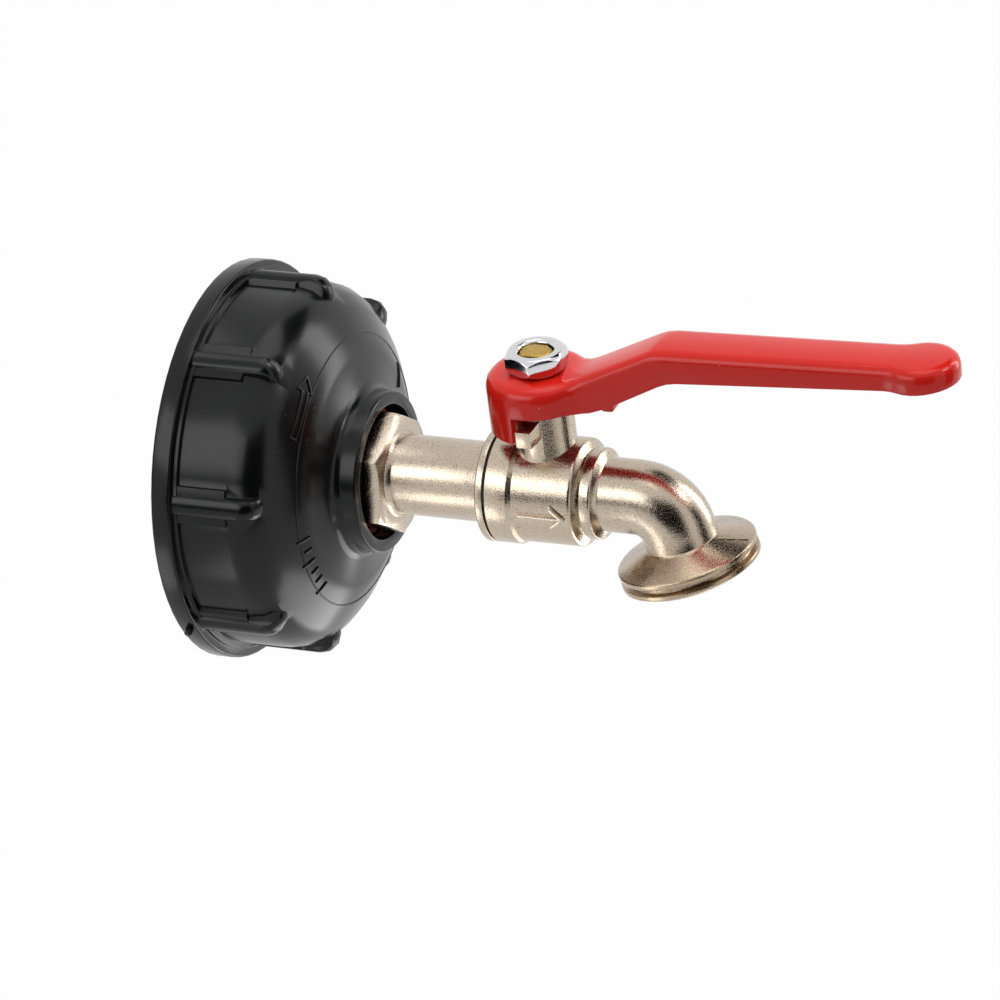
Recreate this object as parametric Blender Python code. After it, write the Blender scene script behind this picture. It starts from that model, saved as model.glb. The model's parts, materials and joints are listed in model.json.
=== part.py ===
"""Lever ball valve on a coarse-threaded tank cap, as an assembly of separate pieces.

Frame: the origin is the centre of the cap's tank-side face, +X runs with the flow
towards the outlet, and +Z runs up along the valve's stem.
"""
import math

import bmesh
import bpy
from mathutils import Matrix, Vector

MM = 0.001

# Clearances between pieces
SEAT_GAP = 0.3 * MM
SMALL_GAP = 0.15 * MM
SEAL_GAP = 0.1 * MM
RUNNING_GAP = 0.2 * MM
MERGE_REACH = 0.0001 * MM

# Smoothness of round stretches
ARC_STEP = math.radians(30)
CAP_STEPS = 64
BODY_STEPS = 40
BEND_STEPS = 9
BALL_STEPS = 12
SMALL_STEPS = 28
SEAT_FACE_STEPS = 3
ORING_SIDES = 8
FLAT_ARC_STEPS = 7
HUB_STEP_DEG = 9.0
WAIST_STEPS = 4
END_STEPS = 10
EDGE_STEPS = 3

# Cap: socket for the 60 mm tank thread
SOCKET_RADIUS = 30.2 * MM
SOCKET_DEPTH = 16.0 * MM
SOCKET_LEAD = 0.8 * MM

# Half-inch thread between the cap's hub and the inlet tail
TAIL_THREAD_RADIUS = 10.2 * MM
HUB_SETBACK = 1.2 * MM
CAP_HUB_END = SOCKET_DEPTH + HUB_SETBACK
TAIL_SETBACK = 0.4 * MM
TAIL_THREAD_END = CAP_HUB_END + TAIL_SETBACK

# Cap: moulding recess round the hub
HUB_WALL = 4.0 * MM
CORE_INNER = TAIL_THREAD_RADIUS + HUB_WALL
CORE_SHARE = 0.649
CORE_OUTER = SOCKET_RADIUS * CORE_SHARE
CORE_RISE = 4.6 * MM
CORE_DEPTH = SOCKET_DEPTH + CORE_RISE
CORE_DRAFT = 0.8 * MM

# Cap: skirt and rim
SKIRT_WALL = 2.9 * MM
SKIRT_RADIUS = SOCKET_RADIUS + SKIRT_WALL
SKIRT_LEAD = 2.2 * MM
SKIRT_LENGTH = SOCKET_DEPTH + SKIRT_LEAD
RIM_LIP = 2.9 * MM
RIM_RADIUS = SKIRT_RADIUS + RIM_LIP
RIM_THICK = 3.6 * MM
RIM_EDGE = 0.4 * MM
RIM_STEP_LIP = 1.2 * MM
RIM_STEP_RADIUS = SKIRT_RADIUS + RIM_STEP_LIP
RIM_STEP = 0.6 * MM

# Cap: sloping front and boss
SHOULDER_ROUND = 8.5 * MM
SHOULDER_RISE = 5.7 * MM
SHOULDER_WIDTH = 10.5 * MM
SLOPE_X = SKIRT_LENGTH + SHOULDER_RISE
SLOPE_RADIUS = SKIRT_RADIUS - SHOULDER_WIDTH
SLOPE_ROUND = 10.0 * MM
SLOPE_RISE = 1.5 * MM
BOSS_FOOT_X = SLOPE_X + SLOPE_RISE
BOSS_FOOT_ROUND = 2.0 * MM
BOSS_HEIGHT = 4.2 * MM
BOSS_X = BOSS_FOOT_X + BOSS_HEIGHT
BOSS_EDGE = 0.5 * MM
RECESS_MARGIN = 1.9 * MM
RECESS_RADIUS = TAIL_THREAD_RADIUS + RECESS_MARGIN
RECESS_DEPTH = 5.2 * MM
RECESS_EDGE = 0.4 * MM
BOSS_WALL = 2.5 * MM
BOSS_RADIUS = RECESS_RADIUS + BOSS_WALL

# Cap: grip ribs
RIB_COUNT = 8
RIB_FIRST_DEG = -14.3
RIB_WIDTH = 3.9 * MM
RIB_HEIGHT = 1.8 * MM
RIB_RADIUS = SKIRT_RADIUS + RIB_HEIGHT
RIB_SINK = 1.6 * MM
RIB_ROOT = SKIRT_RADIUS - RIB_SINK
RIB_FOOT_RADIUS = SOCKET_RADIUS - RIB_SINK
RIB_START = 2.0 * MM
RIB_OVERHANG = 1.0 * MM
RIB_END = SKIRT_LENGTH + RIB_OVERHANG
RIB_NOSE = 3.4 * MM
RIB_ROUND = 1.3 * MM
RIB_MARGIN = 0.1 * MM
PEDESTAL_WIDTH = 6.6 * MM
PEDESTAL_HEIGHT = 0.8 * MM
PEDESTAL_RADIUS = SKIRT_RADIUS + PEDESTAL_HEIGHT
PEDESTAL_SETBACK = 5.8 * MM
PEDESTAL_END = RIB_END - PEDESTAL_SETBACK

# Flat gasket in the socket
GASKET_THICK = 3.0 * MM
GASKET_MARGIN = 0.9 * MM
GASKET_OUTER = SOCKET_RADIUS - GASKET_MARGIN
GASKET_SHARE = 0.717
GASKET_INNER = GASKET_OUTER * GASKET_SHARE

# Washer under the hexagon
WASHER_THICK = 1.5 * MM
WASHER_MARGIN = 0.4 * MM
WASHER_OUTER = RECESS_RADIUS - WASHER_MARGIN

# Bore of the ball, and the wider bore before and after it
BALL_RADIUS = 6.75 * MM
PORT_SHARE = 0.593
PORT_RADIUS = BALL_RADIUS * PORT_SHARE
PORT_STEP = 0.6 * MM
FLOW_RADIUS = PORT_RADIUS + PORT_STEP

# Inlet tail: hexagon and pipe
HEX_MARGIN = 0.55 * MM
HEX_FLATS = 2 * (RECESS_RADIUS - HEX_MARGIN) * math.cos(math.pi / 6)
HEX_OVERHANG = 2.6 * MM
HEX_FRONT = BOSS_X + HEX_OVERHANG
HEX_CHAMFER = 0.8 * MM
HEX_CORNER_DEG = 53.7
PIPE_WALL = 2.6 * MM
PIPE_RADIUS = FLOW_RADIUS + PIPE_WALL
PIPE_ROOT_ROUND = 0.9 * MM
PIPE_LENGTH = 18.4 * MM
COLLAR_X = HEX_FRONT + PIPE_LENGTH

# Place of the ball, and its seats
BALL_SETBACK = 3.85 * MM
STEM_X = COLLAR_X + BALL_SETBACK + BALL_RADIUS
SEAT_BORE = PORT_RADIUS + SEAT_GAP
SEAT_LIP_DROP = 0.75 * MM
SEAT_LIP_RADIUS = BALL_RADIUS - SEAT_LIP_DROP
SEAT_LIP = 0.7 * MM
SEAT_OUTER = SEAT_LIP_RADIUS + SEAT_LIP
SEAT_TUCK = 0.15 * MM
SEAT_BACK = BALL_RADIUS - SEAT_TUCK

# Spigot that screws into the body, and the collar with its seal
SPIGOT_LENGTH = 6.0 * MM
SPIGOT_END = COLLAR_X + SPIGOT_LENGTH
SPIGOT_WALL = 1.6 * MM
SPIGOT_RADIUS = SEAT_OUTER + SPIGOT_WALL
COLLAR_THICK = 1.4 * MM
COLLAR_EDGE = 0.25 * MM
JOINT_EDGE = 0.12 * MM
JOINT_SEAL_THICK = 0.2 * MM

# Valve body: barrel and its rings
BARREL_WALL = 1.4 * MM
BARREL_RADIUS = SPIGOT_RADIUS + BARREL_WALL
RING_HEIGHT = 0.6 * MM
RING_RADIUS = BARREL_RADIUS + RING_HEIGHT
RING_LENGTH = 4.2 * MM
COLLAR_LIP = 0.05 * MM
COLLAR_RADIUS = RING_RADIUS + COLLAR_LIP
SEAL_INSET = 0.3 * MM
JOINT_SEAL_OUTER = COLLAR_RADIUS - SEAL_INSET
CAVITY_ROOM = 0.65 * MM
CAVITY_RADIUS = BALL_RADIUS + CAVITY_ROOM
BARREL_LEAD = 0.45 * MM
BARREL_END = STEM_X + BALL_RADIUS + BARREL_LEAD
BARREL_EDGE = 0.7 * MM
GROOVE_LENGTH = 1.2 * MM
SECOND_RING_X = BARREL_END + GROOVE_LENGTH
SECOND_RING_STEP = 1.5 * MM
SECOND_RING_RADIUS = BARREL_RADIUS - SECOND_RING_STEP
SECOND_RING_EDGE = 0.5 * MM
SECOND_RING_LENGTH = 1.9 * MM
SECOND_RING_END = SECOND_RING_X + SECOND_RING_LENGTH
GROOVE_DEPTH = 0.5 * MM
GROOVE_RADIUS = SECOND_RING_RADIUS - GROOVE_DEPTH

# Valve body: spout and threaded outlet
SPOUT_LEAD = 1.0 * MM
SPOUT_X = SECOND_RING_END + SPOUT_LEAD
SPOUT_WALL = 2.05 * MM
SPOUT_RADIUS = FLOW_RADIUS + SPOUT_WALL
SPOUT_ROOT_ROUND = 0.65 * MM
SPOUT_INNER_BEND = 0.45 * MM
OUTLET_REACH = 10.9 * MM
OUTLET_AXIS_X = SPOUT_X + OUTLET_REACH
OUTLET_TILT = math.radians(13.1)
FLANGE_DROP = 10.3 * MM
FLANGE_RADIUS = 12.75 * MM
FLANGE_CONE = 2.2 * MM
CONE_FOOT = 0.4 * MM
THREAD_PITCH = 1.8 * MM
THREAD_DEPTH = 1.1 * MM
THREAD_LAND = 0.8 * MM
FLANGE_THICK = 3.6 * MM

# Stem and the slot that its tongue drives
STEM_RADIUS = 3.0 * MM
STEM_BORE = STEM_RADIUS + RUNNING_GAP
SLOT_DEPTH = 2.05 * MM
TONGUE_THICK = 2.6 * MM
TONGUE_WIDTH = 6.6 * MM
TONGUE_BOTTOM = BALL_RADIUS - SLOT_DEPTH + SEAT_GAP
COLLAR_ROOM = 0.95 * MM
COLLAR_BOTTOM = BALL_RADIUS + COLLAR_ROOM
STEM_COLLAR_LIP = 0.5 * MM
STEM_COLLAR_RADIUS = STEM_RADIUS + STEM_COLLAR_LIP
STEM_COLLAR_THICK = 1.3 * MM
THRUST_THICK = 0.6 * MM
FLATS_ACROSS = 4.4 * MM
STEM_EDGE = 0.5 * MM

# Stem seals
ORING_MINOR = 0.52 * MM
ORING_GROOVE_DEPTH = 1.0 * MM
ORING_GROOVE_RADIUS = STEM_RADIUS - ORING_GROOVE_DEPTH
ORING_RISE = 5.7 * MM
ORING_SPACING = 3.5 * MM
ORING_HEIGHTS = (COLLAR_BOTTOM + ORING_RISE, COLLAR_BOTTOM + ORING_RISE + ORING_SPACING)

# Valve body: neck and the two stop lugs
NECK_WALL = 2.3 * MM
NECK_RADIUS = STEM_BORE + NECK_WALL
NECK_COVER = 4.1 * MM
NECK_TOP = ORING_HEIGHTS[1] + NECK_COVER
NECK_EDGE = 0.4 * MM
LUG_REACH = 10.0 * MM
LUG_DROP = 4.7 * MM
LUG_TOP = NECK_TOP - LUG_DROP
LUG_HEIGHT = 3.0 * MM
LUG_ROOT_DROP = 0.7 * MM
LUG_BACK = 1.7 * MM
STOP_PLAY = 1.1 * MM

# Lever: hub, tab and wall
LEVER_WALL = 1.9 * MM
LEVER_TOP_THICK = 2.4 * MM
HUB_LIFT = 0.55 * MM
HUB_TOP = NECK_TOP + HUB_LIFT + LEVER_TOP_THICK
HUB_HEIGHT = 5.5 * MM
HUB_SKIRT_BOTTOM = HUB_TOP - HUB_HEIGHT
HUB_RADIUS = 9.4 * MM
HUB_ROUND = 2.2 * MM
HUB_WAIST_ROUND = 8.0 * MM
TAB_DROP = 5.1 * MM
TAB_BOTTOM = HUB_SKIRT_BOTTOM - TAB_DROP
TAB_CENTRE_DEG = 225.0
TAB_HALF_DEG = 31.6
TAB_EDGE_DEG = 1.0

# Lever: ramp, grip and the wider end, seen from the side
RAMP_FOOT = 7.2 * MM
RAMP_REACH = 24.0 * MM
RAMP_RISE = 7.85 * MM
GRIP_RISE = 1.7 * MM
LOWER_RAMP_FOOT = 11.6 * MM
LOWER_RAMP_REACH = 26.4 * MM
LOWER_RAMP_RISE = 7.65 * MM
LOWER_GRIP_RISE = 3.65 * MM
RAMP_FOOT_ROUND = 7.0 * MM
RAMP_HEAD_ROUND = 9.0 * MM

# Lever: grip and the wider end, seen from above
GRIP_HALF_WIDTH = 5.2 * MM
GRIP_ROUND = 1.8 * MM
GRIP_LEAST_STEP = 0.4 * MM
LEVER_REACH = 78.6 * MM
END_X = STEM_X + LEVER_REACH
END_RADIUS = 6.6 * MM
END_WAIST_ROUND = 7.0 * MM

# Nut on the lever
NUT_FLATS = 10.0 * MM
NUT_HEIGHT = 3.7 * MM
NUT_FACE_MARGIN = 0.25 * MM
NUT_FACE_RADIUS = NUT_FLATS / 2 - NUT_FACE_MARGIN
NUT_SLOPE = math.tan(math.radians(40))
NUT_SINK = 0.4 * MM
NUT_TURN_DEG = 37.5
NUT_BORE = STEM_RADIUS + SMALL_GAP
STEM_INSET = 0.35 * MM
STEM_TOP = HUB_TOP + SMALL_GAP + NUT_HEIGHT - STEM_INSET

# Colour, metallic, roughness
FINISHES = {
    "cap_black": ((0.012, 0.012, 0.013), 0.0, 0.28),
    "gasket_rubber": ((0.02, 0.02, 0.02), 0.0, 0.7),
    "washer_fibre": ((0.30, 0.06, 0.04), 0.0, 0.6),
    "nickel": ((0.62, 0.57, 0.48), 1.0, 0.32),
    "seal_black": ((0.015, 0.015, 0.015), 0.0, 0.6),
    "ball_chrome": ((0.75, 0.75, 0.76), 1.0, 0.08),
    "seat_white": ((0.82, 0.82, 0.80), 0.0, 0.45),
    "stem_brass": ((0.72, 0.50, 0.17), 1.0, 0.3),
    "lever_red": ((0.58, 0.014, 0.010), 0.0, 0.22),
    "nut_chrome": ((0.78, 0.78, 0.80), 1.0, 0.1),
}


def clear_scene():
    for item in list(bpy.data.objects):
        bpy.data.objects.remove(item, do_unlink=True)


def finish_material(slot):
    material = bpy.data.materials.get(slot)
    if material:
        return material
    colour, metallic, roughness = FINISHES[slot]
    material = bpy.data.materials.new(slot)
    material.use_nodes = True
    shader = material.node_tree.nodes["Principled BSDF"]
    shader.inputs["Base Color"].default_value = (*colour, 1.0)
    shader.inputs["Metallic"].default_value = metallic
    shader.inputs["Roughness"].default_value = roughness
    material.diffuse_color = (*colour, 1.0)
    return material


def rounded(corners, closed=True):
    """Turn (u, v) or (u, v, radius) corners into points, with arcs where a radius is given."""
    points = []
    count = len(corners)
    for index, corner in enumerate(corners):
        here = Vector(corner[:2])
        radius = corner[2] if len(corner) > 2 else 0.0
        at_end = not closed and index in (0, count - 1)
        if radius <= 0.0 or at_end:
            points.append(here)
            continue
        to_last = (Vector(corners[index - 1][:2]) - here).normalized()
        to_next = (Vector(corners[(index + 1) % count][:2]) - here).normalized()
        opening = to_last.angle(to_next)
        turn = math.pi - opening
        reach = radius / math.tan(opening / 2)
        middle = here + (to_last + to_next).normalized() * radius / math.sin(opening / 2)
        start = here + to_last * reach - middle
        side = 1.0 if start.x * (here - middle).y - start.y * (here - middle).x > 0 else -1.0
        steps = max(2, math.ceil(turn / ARC_STEP))
        for step in range(steps + 1):
            angle = side * turn * step / steps
            arm = Matrix.Rotation(angle, 2) @ start
            points.append(middle + arm)
    return points


def new_piece(name, mesh_builder, slot, parent=None, smooth_deg=35.0):
    mesh = bpy.data.meshes.new(name)
    mesh_builder.to_mesh(mesh)
    mesh_builder.free()
    mesh.materials.append(finish_material(slot))
    mesh.shade_smooth()
    mesh.set_sharp_from_angle(angle=math.radians(smooth_deg))
    piece = bpy.data.objects.new(name, mesh)
    bpy.context.scene.collection.objects.link(piece)
    piece.parent = parent
    return piece


def new_cutter(name, mesh_builder, parent=None):
    mesh = bpy.data.meshes.new(name)
    mesh_builder.to_mesh(mesh)
    mesh_builder.free()
    cutter = bpy.data.objects.new(name, mesh)
    bpy.context.scene.collection.objects.link(cutter)
    cutter.parent = parent
    cutter.hide_render = True
    cutter.display_type = "WIRE"
    return cutter


def combine(piece, tool, operation):
    """Add a live Boolean to a piece."""
    change = piece.modifiers.new(operation.lower() + "_" + tool.name, "BOOLEAN")
    change.operation = operation
    change.solver = "EXACT"
    change.object = tool
    return change


def turned(outline, axis, steps):
    """Turn an outline about X, given as (x, r), or about Z, given as (r, z)."""
    builder = bmesh.new()
    about_x = axis == "X"
    verts = [builder.verts.new((u, 0.0, v)) for u, v in outline]
    radii = [v if about_x else u for u, v in outline]
    edges = []
    for index, vert in enumerate(verts):
        follower = (index + 1) % len(verts)
        if max(radii[index], radii[follower]) > 0.0:
            edges.append(builder.edges.new((vert, verts[follower])))
    direction = (1.0, 0.0, 0.0) if about_x else (0.0, 0.0, 1.0)
    bmesh.ops.spin(builder, geom=verts + edges, cent=(0.0, 0.0, 0.0), axis=direction,
                   angle=2 * math.pi, steps=steps, use_merge=True)
    # Points on the axis come out once for each step and are made one
    bmesh.ops.remove_doubles(builder, verts=builder.verts, dist=MERGE_REACH)
    bmesh.ops.recalc_face_normals(builder, faces=builder.faces)
    return builder


def extruded(outline, plane, low, high):
    """Extrude an outline, given in the XY, XZ or YZ plane, along the third axis."""
    builder = bmesh.new()

    def place(u, v, w):
        return {"XY": (u, v, w), "XZ": (u, w, v), "YZ": (w, u, v)}[plane]

    face = builder.faces.new([builder.verts.new(place(u, v, low)) for u, v in outline])
    grown = bmesh.ops.extrude_face_region(builder, geom=[face])
    moved = [item for item in grown["geom"] if isinstance(item, bmesh.types.BMVert)]
    bmesh.ops.translate(builder, verts=moved, vec=Vector(place(0.0, 0.0, high - low)))
    bmesh.ops.recalc_face_normals(builder, faces=builder.faces)
    return builder


def hexagon(flats, corner_deg):
    corner = flats / 2 / math.cos(math.pi / 6)
    angles = [math.radians(corner_deg + 60 * index) for index in range(6)]
    return [(corner * math.cos(angle), corner * math.sin(angle)) for angle in angles]


def double_flat(radius, across):
    """A circle with two flats that face +Y and -Y."""
    half = math.asin(across / 2 / radius)
    points = []
    for centre in (0.0, math.pi):
        for step in range(FLAT_ARC_STEPS + 1):
            angle = centre - half + 2 * half * step / FLAT_ARC_STEPS
            points.append((radius * math.cos(angle), radius * math.sin(angle)))
    return points


def merge(*builders):
    """Put several separate shapes into one mesh."""
    joined = bmesh.new()
    for builder in builders:
        part = bpy.data.meshes.new("part")
        builder.to_mesh(part)
        builder.free()
        joined.from_mesh(part)
        bpy.data.meshes.remove(part)
    return joined


# Cap

def cap_outline():
    recess_floor = BOSS_X - RECESS_DEPTH
    hub_bore = TAIL_THREAD_RADIUS + SEAT_GAP
    return rounded([
        (0.0, RIM_RADIUS, RIM_EDGE),
        (RIM_THICK, RIM_RADIUS, RIM_EDGE),
        (RIM_THICK, RIM_STEP_RADIUS),
        (RIM_THICK + RIM_STEP, RIM_STEP_RADIUS),
        (RIM_THICK + RIM_STEP, SKIRT_RADIUS),
        (SKIRT_LENGTH, SKIRT_RADIUS, SHOULDER_ROUND),
        (SLOPE_X, SLOPE_RADIUS, SLOPE_ROUND),
        (BOSS_FOOT_X, BOSS_RADIUS, BOSS_FOOT_ROUND),
        (BOSS_X, BOSS_RADIUS, BOSS_EDGE),
        (BOSS_X, RECESS_RADIUS, RECESS_EDGE),
        (recess_floor, RECESS_RADIUS),
        (recess_floor, hub_bore),
        (CAP_HUB_END, hub_bore),
        (CAP_HUB_END, CORE_INNER - CORE_DRAFT),
        (CORE_DEPTH, CORE_INNER),
        (CORE_DEPTH, CORE_OUTER - CORE_DRAFT),
        (SOCKET_DEPTH, CORE_OUTER),
        (SOCKET_DEPTH, SOCKET_RADIUS),
        (SOCKET_LEAD, SOCKET_RADIUS),
        (0.0, SOCKET_RADIUS + SOCKET_LEAD),
    ])


def rib():
    """One grip rib on its pedestal, standing on the skirt at the top."""
    nose = rounded([
        (RIB_START, RIB_ROOT),
        (SOCKET_DEPTH + SEAT_GAP, RIB_ROOT),
        (SOCKET_DEPTH + SEAT_GAP, RIB_FOOT_RADIUS),
        (RIB_END, RIB_FOOT_RADIUS),
        (RIB_END, RIB_RADIUS, RIB_NOSE),
        (RIB_START, RIB_RADIUS),
    ])
    bar = extruded(nose, "XZ", -RIB_WIDTH / 2, RIB_WIDTH / 2)
    crest = []
    for edge in bar.edges:
        first, second = (vert.co for vert in edge.verts)
        middle = (first + second) / 2
        on_side = abs(first.y - second.y) < RIB_MARGIN
        on_top = middle.z > RIB_ROOT + RIB_MARGIN and middle.x > RIB_START + RIB_MARGIN
        on_nose = middle.x > RIB_END - RIB_MARGIN
        if on_side and (on_top or on_nose):
            crest.append(edge)
    bmesh.ops.bevel(bar, geom=crest, offset=RIB_ROUND, segments=2, profile=0.5,
                    affect="EDGES", clamp_overlap=True)
    return bar


def pedestal():
    outline = [(RIB_START, RIB_ROOT), (PEDESTAL_END, RIB_ROOT),
               (PEDESTAL_END, PEDESTAL_RADIUS), (RIB_START, PEDESTAL_RADIUS)]
    return extruded(outline, "XZ", -PEDESTAL_WIDTH / 2, PEDESTAL_WIDTH / 2)


def around_cap(shape):
    """Copy a shape to each rib's place round the cap."""
    copies = []
    for index in range(RIB_COUNT):
        copy = shape()
        angle = math.radians(RIB_FIRST_DEG + 360.0 / RIB_COUNT * index)
        bmesh.ops.rotate(copy, verts=copy.verts, cent=(0.0, 0.0, 0.0),
                         matrix=Matrix.Rotation(angle, 3, "X"))
        copies.append(copy)
    return merge(*copies)


def make_cap():
    cap = new_piece("tank_cap", turned(cap_outline(), "X", CAP_STEPS), "cap_black")
    combine(cap, new_cutter("rib_pedestals", around_cap(pedestal)), "UNION")
    combine(cap, new_cutter("ribs", around_cap(rib)), "UNION")


def make_cap_gasket():
    front = SOCKET_DEPTH - SEAT_GAP
    outline = [(front - GASKET_THICK, GASKET_INNER), (front, GASKET_INNER),
               (front, GASKET_OUTER), (front - GASKET_THICK, GASKET_OUTER)]
    new_piece("cap_gasket", turned(outline, "X", CAP_STEPS), "gasket_rubber")


def washer_back():
    return BOSS_X - RECESS_DEPTH + SEAT_GAP


def make_boss_washer():
    back = washer_back()
    bore = TAIL_THREAD_RADIUS + SEAT_GAP
    outline = [(back, bore), (back + WASHER_THICK, bore),
               (back + WASHER_THICK, WASHER_OUTER), (back, WASHER_OUTER)]
    new_piece("boss_washer", turned(outline, "X", BODY_STEPS), "washer_fibre")


# Inlet tail

def make_inlet_tail():
    hex_back = washer_back() + WASHER_THICK + SEAT_GAP
    pocket_floor = STEM_X - SEAT_BACK - SEAT_GAP
    outline = rounded([
        (TAIL_THREAD_END, FLOW_RADIUS),
        (TAIL_THREAD_END, TAIL_THREAD_RADIUS, COLLAR_EDGE),
        (hex_back + SEAT_GAP, TAIL_THREAD_RADIUS),
        (HEX_FRONT - SEAT_GAP, TAIL_THREAD_RADIUS - SEAT_GAP),
        (HEX_FRONT - SEAT_GAP, PIPE_RADIUS + PIPE_ROOT_ROUND),
        (HEX_FRONT + PIPE_ROOT_ROUND, PIPE_RADIUS),
        (COLLAR_X, PIPE_RADIUS),
        (COLLAR_X, COLLAR_RADIUS, COLLAR_EDGE),
        (COLLAR_X + COLLAR_THICK, COLLAR_RADIUS, JOINT_EDGE),
        (COLLAR_X + COLLAR_THICK, SPIGOT_RADIUS),
        (SPIGOT_END, SPIGOT_RADIUS, COLLAR_EDGE),
        (SPIGOT_END, SEAT_OUTER + SEAT_GAP),
        (pocket_floor, SEAT_OUTER + SEAT_GAP),
        (pocket_floor, FLOW_RADIUS),
    ])
    tail = new_piece("inlet_tail", turned(outline, "X", BODY_STEPS), "nickel")
    bore = FLOW_RADIUS + PIPE_ROOT_ROUND
    corner = HEX_FLATS / 2 / math.cos(math.pi / 6)
    block = new_cutter("hex_block", extruded(hexagon(HEX_FLATS, 90.0 + HEX_CORNER_DEG),
                                             "YZ", hex_back, HEX_FRONT))
    shaping = turned([
        (hex_back - SEAT_GAP, bore),
        (hex_back - SEAT_GAP, corner + SEAT_GAP),
        (HEX_FRONT - HEX_CHAMFER, corner + SEAT_GAP),
        (HEX_FRONT + SEAT_GAP, corner - 2 * HEX_CHAMFER),
        (HEX_FRONT + SEAT_GAP, bore),
    ], "X", BODY_STEPS)
    combine(block, new_cutter("hex_shaping", shaping), "INTERSECT")
    combine(tail, block, "UNION")


def make_joint_seal():
    start = COLLAR_X + COLLAR_THICK + SEAL_GAP
    outline = [(start, SPIGOT_RADIUS + SEAT_GAP), (start + JOINT_SEAL_THICK, SPIGOT_RADIUS + SEAT_GAP),
               (start + JOINT_SEAL_THICK, JOINT_SEAL_OUTER), (start, JOINT_SEAL_OUTER)]
    new_piece("joint_seal", turned(outline, "X", BODY_STEPS), "seal_black")


# Ball and seats

def make_seat(name, side):
    """A seat ring whose hollow face follows the ball."""
    reach = BALL_RADIUS + SEAT_GAP
    face = []
    for step in range(SEAT_FACE_STEPS + 1):
        radius = SEAT_BORE + (SEAT_LIP_RADIUS - SEAT_BORE) * step / SEAT_FACE_STEPS
        face.append((math.sqrt(reach ** 2 - radius ** 2), radius))
    outline = [(SEAT_BACK, SEAT_BORE), *face, (face[-1][0], SEAT_OUTER), (SEAT_BACK, SEAT_OUTER)]
    placed = [(STEM_X + side * along, radius) for along, radius in outline]
    new_piece(name, turned(placed, "X", SMALL_STEPS), "seat_white")


def make_ball(turning):
    """A ball turned about its port, with a slot across its top for the stem's tongue."""
    port_edge = math.asin(PORT_RADIUS / BALL_RADIUS)
    outline = []
    for step in range(BALL_STEPS + 1):
        angle = port_edge + (math.pi - 2 * port_edge) * step / BALL_STEPS
        outline.append((BALL_RADIUS * math.cos(angle), BALL_RADIUS * math.sin(angle)))
    ball = new_piece("ball", turned(outline, "X", SMALL_STEPS), "ball_chrome", turning)
    half = TONGUE_THICK / 2 + RUNNING_GAP
    slot = extruded([(-half, BALL_RADIUS - SLOT_DEPTH), (half, BALL_RADIUS - SLOT_DEPTH),
                     (half, 2 * BALL_RADIUS), (-half, 2 * BALL_RADIUS)],
                    "XZ", -BALL_RADIUS, BALL_RADIUS)
    combine(ball, new_cutter("ball_slot", slot, turning), "DIFFERENCE")


# Valve body

def outlet_ring(height, radius):
    """A ring about the outlet's axis, by its height above the flange's upper edge."""
    direction = Vector((math.sin(OUTLET_TILT), 0.0, -math.cos(OUTLET_TILT)))
    centre = Vector((OUTLET_AXIS_X, 0.0, 0.0)) + direction * (FLANGE_DROP - height)
    return centre, direction, radius


def barrel_rings(profile):
    """Rings about the barrel's axis from (x, radius) pairs."""
    along = Vector((1.0, 0.0, 0.0))
    return [(Vector((x, 0.0, 0.0)), along, radius) for x, radius in profile]


def bend_rings(radius):
    """Rings round the spout's tight bend, from the barrel's heading to the outlet's."""
    turn = math.pi / 2 - OUTLET_TILT
    sweep = SPOUT_RADIUS + SPOUT_INNER_BEND
    pivot = Vector((OUTLET_AXIS_X - sweep * math.tan(turn / 2), 0.0, -sweep))
    rings = []
    for step in range(BEND_STEPS + 1):
        angle = turn * step / BEND_STEPS
        heading = Vector((math.cos(angle), 0.0, -math.sin(angle)))
        outward = Vector((math.sin(angle), 0.0, math.cos(angle)))
        rings.append((pivot + outward * sweep, heading, radius))
    return rings


def lofted(rings, steps):
    """Join round rings, given as (centre, heading, radius), into one solid with flat ends."""
    builder = bmesh.new()
    across = Vector((0.0, 1.0, 0.0))
    loops = []
    for centre, heading, radius in rings:
        rise = across.cross(heading)
        loop = []
        for step in range(steps):
            angle = 2 * math.pi * step / steps
            arm = math.cos(angle) * across + math.sin(angle) * rise
            loop.append(builder.verts.new(centre + radius * arm))
        loops.append(loop)
    for loop, follower in zip(loops, loops[1:]):
        for step in range(steps):
            beside = (step + 1) % steps
            builder.faces.new((loop[step], loop[beside], follower[beside], follower[step]))
    builder.faces.new(loops[0])
    builder.faces.new(loops[-1])
    bmesh.ops.recalc_face_normals(builder, faces=builder.faces)
    return builder


def body_start():
    return COLLAR_X + COLLAR_THICK + JOINT_SEAL_THICK + 2 * SEAL_GAP


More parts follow.
